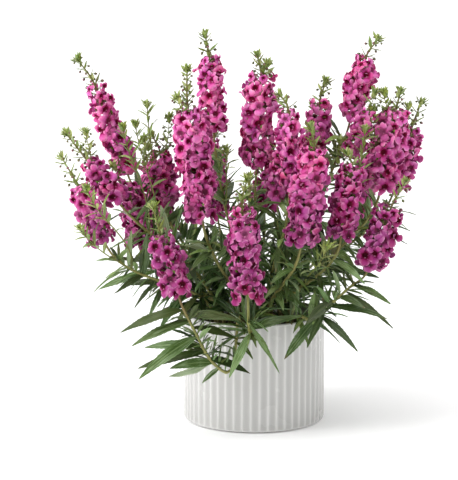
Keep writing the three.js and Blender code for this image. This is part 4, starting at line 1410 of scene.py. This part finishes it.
def bud_look():
    look = Look("bud", 0.4)
    along = look.reading("Blade")[0]
    red = look.reading("Tone")[2]
    look.colour = look.ramp(along, ((0, (0.09, 0.16, 0.04)), (1, (0.16, 0.25, 0.06))))
    reds = ((0, (0.07, 0.06, 0.025)), (0.5, (0.13, 0.02, 0.05)), (1, (0.36, 0.03, 0.16)))
    look.paint(red, look.ramp(along, reds))
    speckle = look.scale(look.noise(700), 0.35, 0.65)
    look.paint(look.product(speckle, 0.3), (0.05, 0.06, 0.02))
    look.bump(speckle, 0.25, 0.0003)
    look.vary_roughness(0.32, 0.55, 500)
    return look.finish()


def petal_look():
    look = Look("petal", 0.12)
    along, across, pale = look.reading("Blade")
    chance, age_and_height_shade, depth = look.reading("Tone")
    pinks = (
        (0, (0.12, 0.001, 0.018)), (0.19, (0.23, 0.004, 0.058)), (0.31, (0.43, 0.032, 0.21)),
        (0.5, (0.575, 0.084, 0.335)), (0.85, (0.66, 0.14, 0.4)), (1, (0.78, 0.26, 0.5)),
    )
    age_and_shade_tints = (
        (0, (0.58, 0.48, 0.62)), (0.3, (0.86, 0.84, 0.9)), (0.6, (1.03, 1.07, 1.07)),
        (1, (1.26, 1.58, 1.41)),
    )
    # Dark in the throat, in fibres that run into the lobe, and a little different from flower to flower
    fibres = look.scale(look.noise(420, 4), 0.3, 0.7, -0.06, 0.06)
    look.colour = look.ramp(look.math("ADD", fibres, along), pinks)
    look.paint(look.scale(chance, 0.5, 1, 0, 0.6), (0.82, 0.3, 0.58), "MULTIPLY")
    look.paint(look.scale(chance, 0.4, 0, 0, 0.7), (0.87, 0.9, 1), "MULTIPLY")
    look.paint(look.scale(depth, 0.45, 0, 0, 0.7), (1.12, 1.1, 0.82), "MULTIPLY")
    # Painted shade and light by height, standing also for age: lower flowers darker, higher ones lighter and
    # paler
    look.paint(1, look.ramp(age_and_height_shade, age_and_shade_tints), "MULTIPLY")
    # Warmer patches, paler flowers, a pale rim that is partly the petal's tone and partly a painted
    # highlight, and the pale spot on the lip
    look.paint(look.scale(look.noise(70, 2), 0.45, 0.65, 0, 0.6), (1.14, 0.94, 0.8), "MULTIPLY")
    look.paint(look.scale(depth, 0.5, 1, 0, 0.4), (0.78, 0.22, 0.5))
    # Painted highlight, with some paler tone: the lobes' outer edges are lightened
    pale_rim_and_highlight = look.product(look.scale(across, 0.5, 1), look.scale(along, 0.25, 0.7, 0, 0.45))
    look.paint(pale_rim_and_highlight, (0.9, 0.44, 0.66))
    look.paint(look.product(pale, 0.3), (0.8, 0.5, 0.62))
    look.bump(look.noise(900, 3), 0.25, 0.0003)
    look.vary_roughness(0.42, 0.6, 350)
    return look.finish()


def glaze_look():
    """A white glaze under a clear coat, with painted shade: greyer in the channels and dark at the recessed
    foot.
    """
    look = Look("white glaze", 0.5)
    dip, height, _ = look.reading("Blade")
    clouds = look.scale(look.noise(14, 5), 0.3, 0.7)
    look.colour = (0.7, 0.695, 0.68, 1)
    look.paint(clouds, (0.745, 0.74, 0.72))
    # Painted shade: the glaze is greyer the deeper the flute's channel
    look.paint(look.scale(dip, 0.1, 1), (0.525, 0.52, 0.505))
    # Painted shade: near black at the recessed foot, where the pot meets the floor
    look.paint(look.scale(height, 0.0125, 0.005), (0.2, 0.18, 0.155))
    look.paint(look.scale(look.noise(1600, 2), 0.76, 0.8, 0, 0.25), (0.5, 0.46, 0.4))
    look.bump(look.noise(60, 4), 0.06, 0.002)
    look.shader.inputs["Coat Weight"].default_value = 0.5
    look.shader.inputs["Coat Roughness"].default_value = 0.08
    look.vary_roughness(0.16, 0.3, 30, 4)
    return look.finish()


def soil_look():
    look = Look("potting mix", 0.2)
    chance, pale, _ = look.reading("Tone")
    grains = look.noise(420, 6)
    browns = ((0.3, (0.012, 0.008, 0.005)), (0.55, (0.05, 0.032, 0.02)), (0.75, (0.12, 0.08, 0.05)))
    look.colour = look.ramp(grains, browns)
    look.paint(look.product(chance, 0.5), (0.1, 0.062, 0.035))
    look.paint(pale, (0.62, 0.6, 0.55))
    look.bump(grains, 0.8, 0.002)
    look.vary_roughness(0.85, 1, 200)
    return look.finish()


def floor_look():
    look = Look("white floor", 0.1, roughness=0.8)
    look.shader.inputs["Emission Color"].default_value = (1, 1, 1, 1)
    look.shader.inputs["Emission Strength"].default_value = FLOOR_GLOW
    look.colour = (0.93, 0.93, 0.93, 1)
    look.paint(look.scale(look.noise(2), 0.3, 0.7), (0.95, 0.95, 0.95))
    return look.finish()


# Stage, light and camera


def set_stage():
    mesh = bpy.data.meshes.new("floor")
    pale_rim_and_highlight = [tuple(level(360 / FLOOR_SIDES * k) * FLOOR_RADIUS) for k in range(FLOOR_SIDES)]
    mesh.from_pydata(pale_rim_and_highlight, [], [tuple(range(FLOOR_SIDES))])
    mesh.materials.append(floor_look())
    floor = put(mesh)


def put_lamp(name, kind, energy, place, target):
    """A lamp at a place that shines towards its target. Returns its light."""
    light = bpy.data.lights.new(name, kind)
    light.energy = energy
    lamp = put(light)
    lamp.location = place
    lamp.rotation_euler = (Vector(place) - Vector(target)).to_track_quat("Z", "Y").to_euler()
    return light


def set_light():
    """A dome that is brighter overhead, soft suns, and a softbox at the left."""
    world = bpy.data.worlds.new("studio")
    world.use_nodes = True
    nodes = Nodes(world.node_tree)
    direction = nodes.node("TexCoord").outputs["Generated"]
    height = nodes.node("SeparateXYZ", {"Vector": direction}).outputs["Z"]
    dome = nodes.ramp(height, [(position, (light, light, light)) for position, light in DOME_LIGHT])
    nodes.feed(world.node_tree.nodes["Background"].inputs["Color"], dome)
    bpy.context.scene.world = world
    for number, (place, strength, size) in enumerate(SUNS, 1):
        put_lamp(f"sun {number}", "SUN", strength, place, (0, 0, 0)).angle = math.radians(size)
    put_lamp("softbox", "AREA", BOX_POWER, BOX_PLACE, BOX_TARGET).size = BOX_SIZE
    bpy.context.scene.view_settings.view_transform = "Standard"


def set_camera():
    camera = bpy.data.cameras.new("camera")
    camera.sensor_fit = "VERTICAL"
    camera.sensor_height = CAMERA_SENSOR
    camera.lens = CAMERA_LENS
    viewer = put(camera)
    viewer.location = CAMERA_PLACE
    viewer.rotation_euler = (math.radians(90 - CAMERA_PITCH), 0, 0)
    bpy.context.scene.camera = viewer


# Assembly

set_stage()
set_light()
set_camera()
draw = Draws(SCENE_SEED)
pot_surface().piece("pot_glazed", "pot", "glaze", [glaze_look()])
soil_surface(draw).piece("potting_mix_crumbs", "potting_mix", "soil", [soil_look()])
looks = [leaf_look(), stalk_look(), bud_look(), petal_look()]
plants, guard = grow_plants()
kinds = [flower_kind(draw) for _ in range(FLOWER_KINDS)]
for plant in plants:
    name = f"{plant.number:02d}"
    add_stem(plant, guard, draw).piece(f"stem_{name}_leafy", f"stem_{name}", "foliage", looks)
    add_spike(plant, kinds, draw).piece(f"spike_{name}_flowers", f"spike_{name}", "petals", looks)
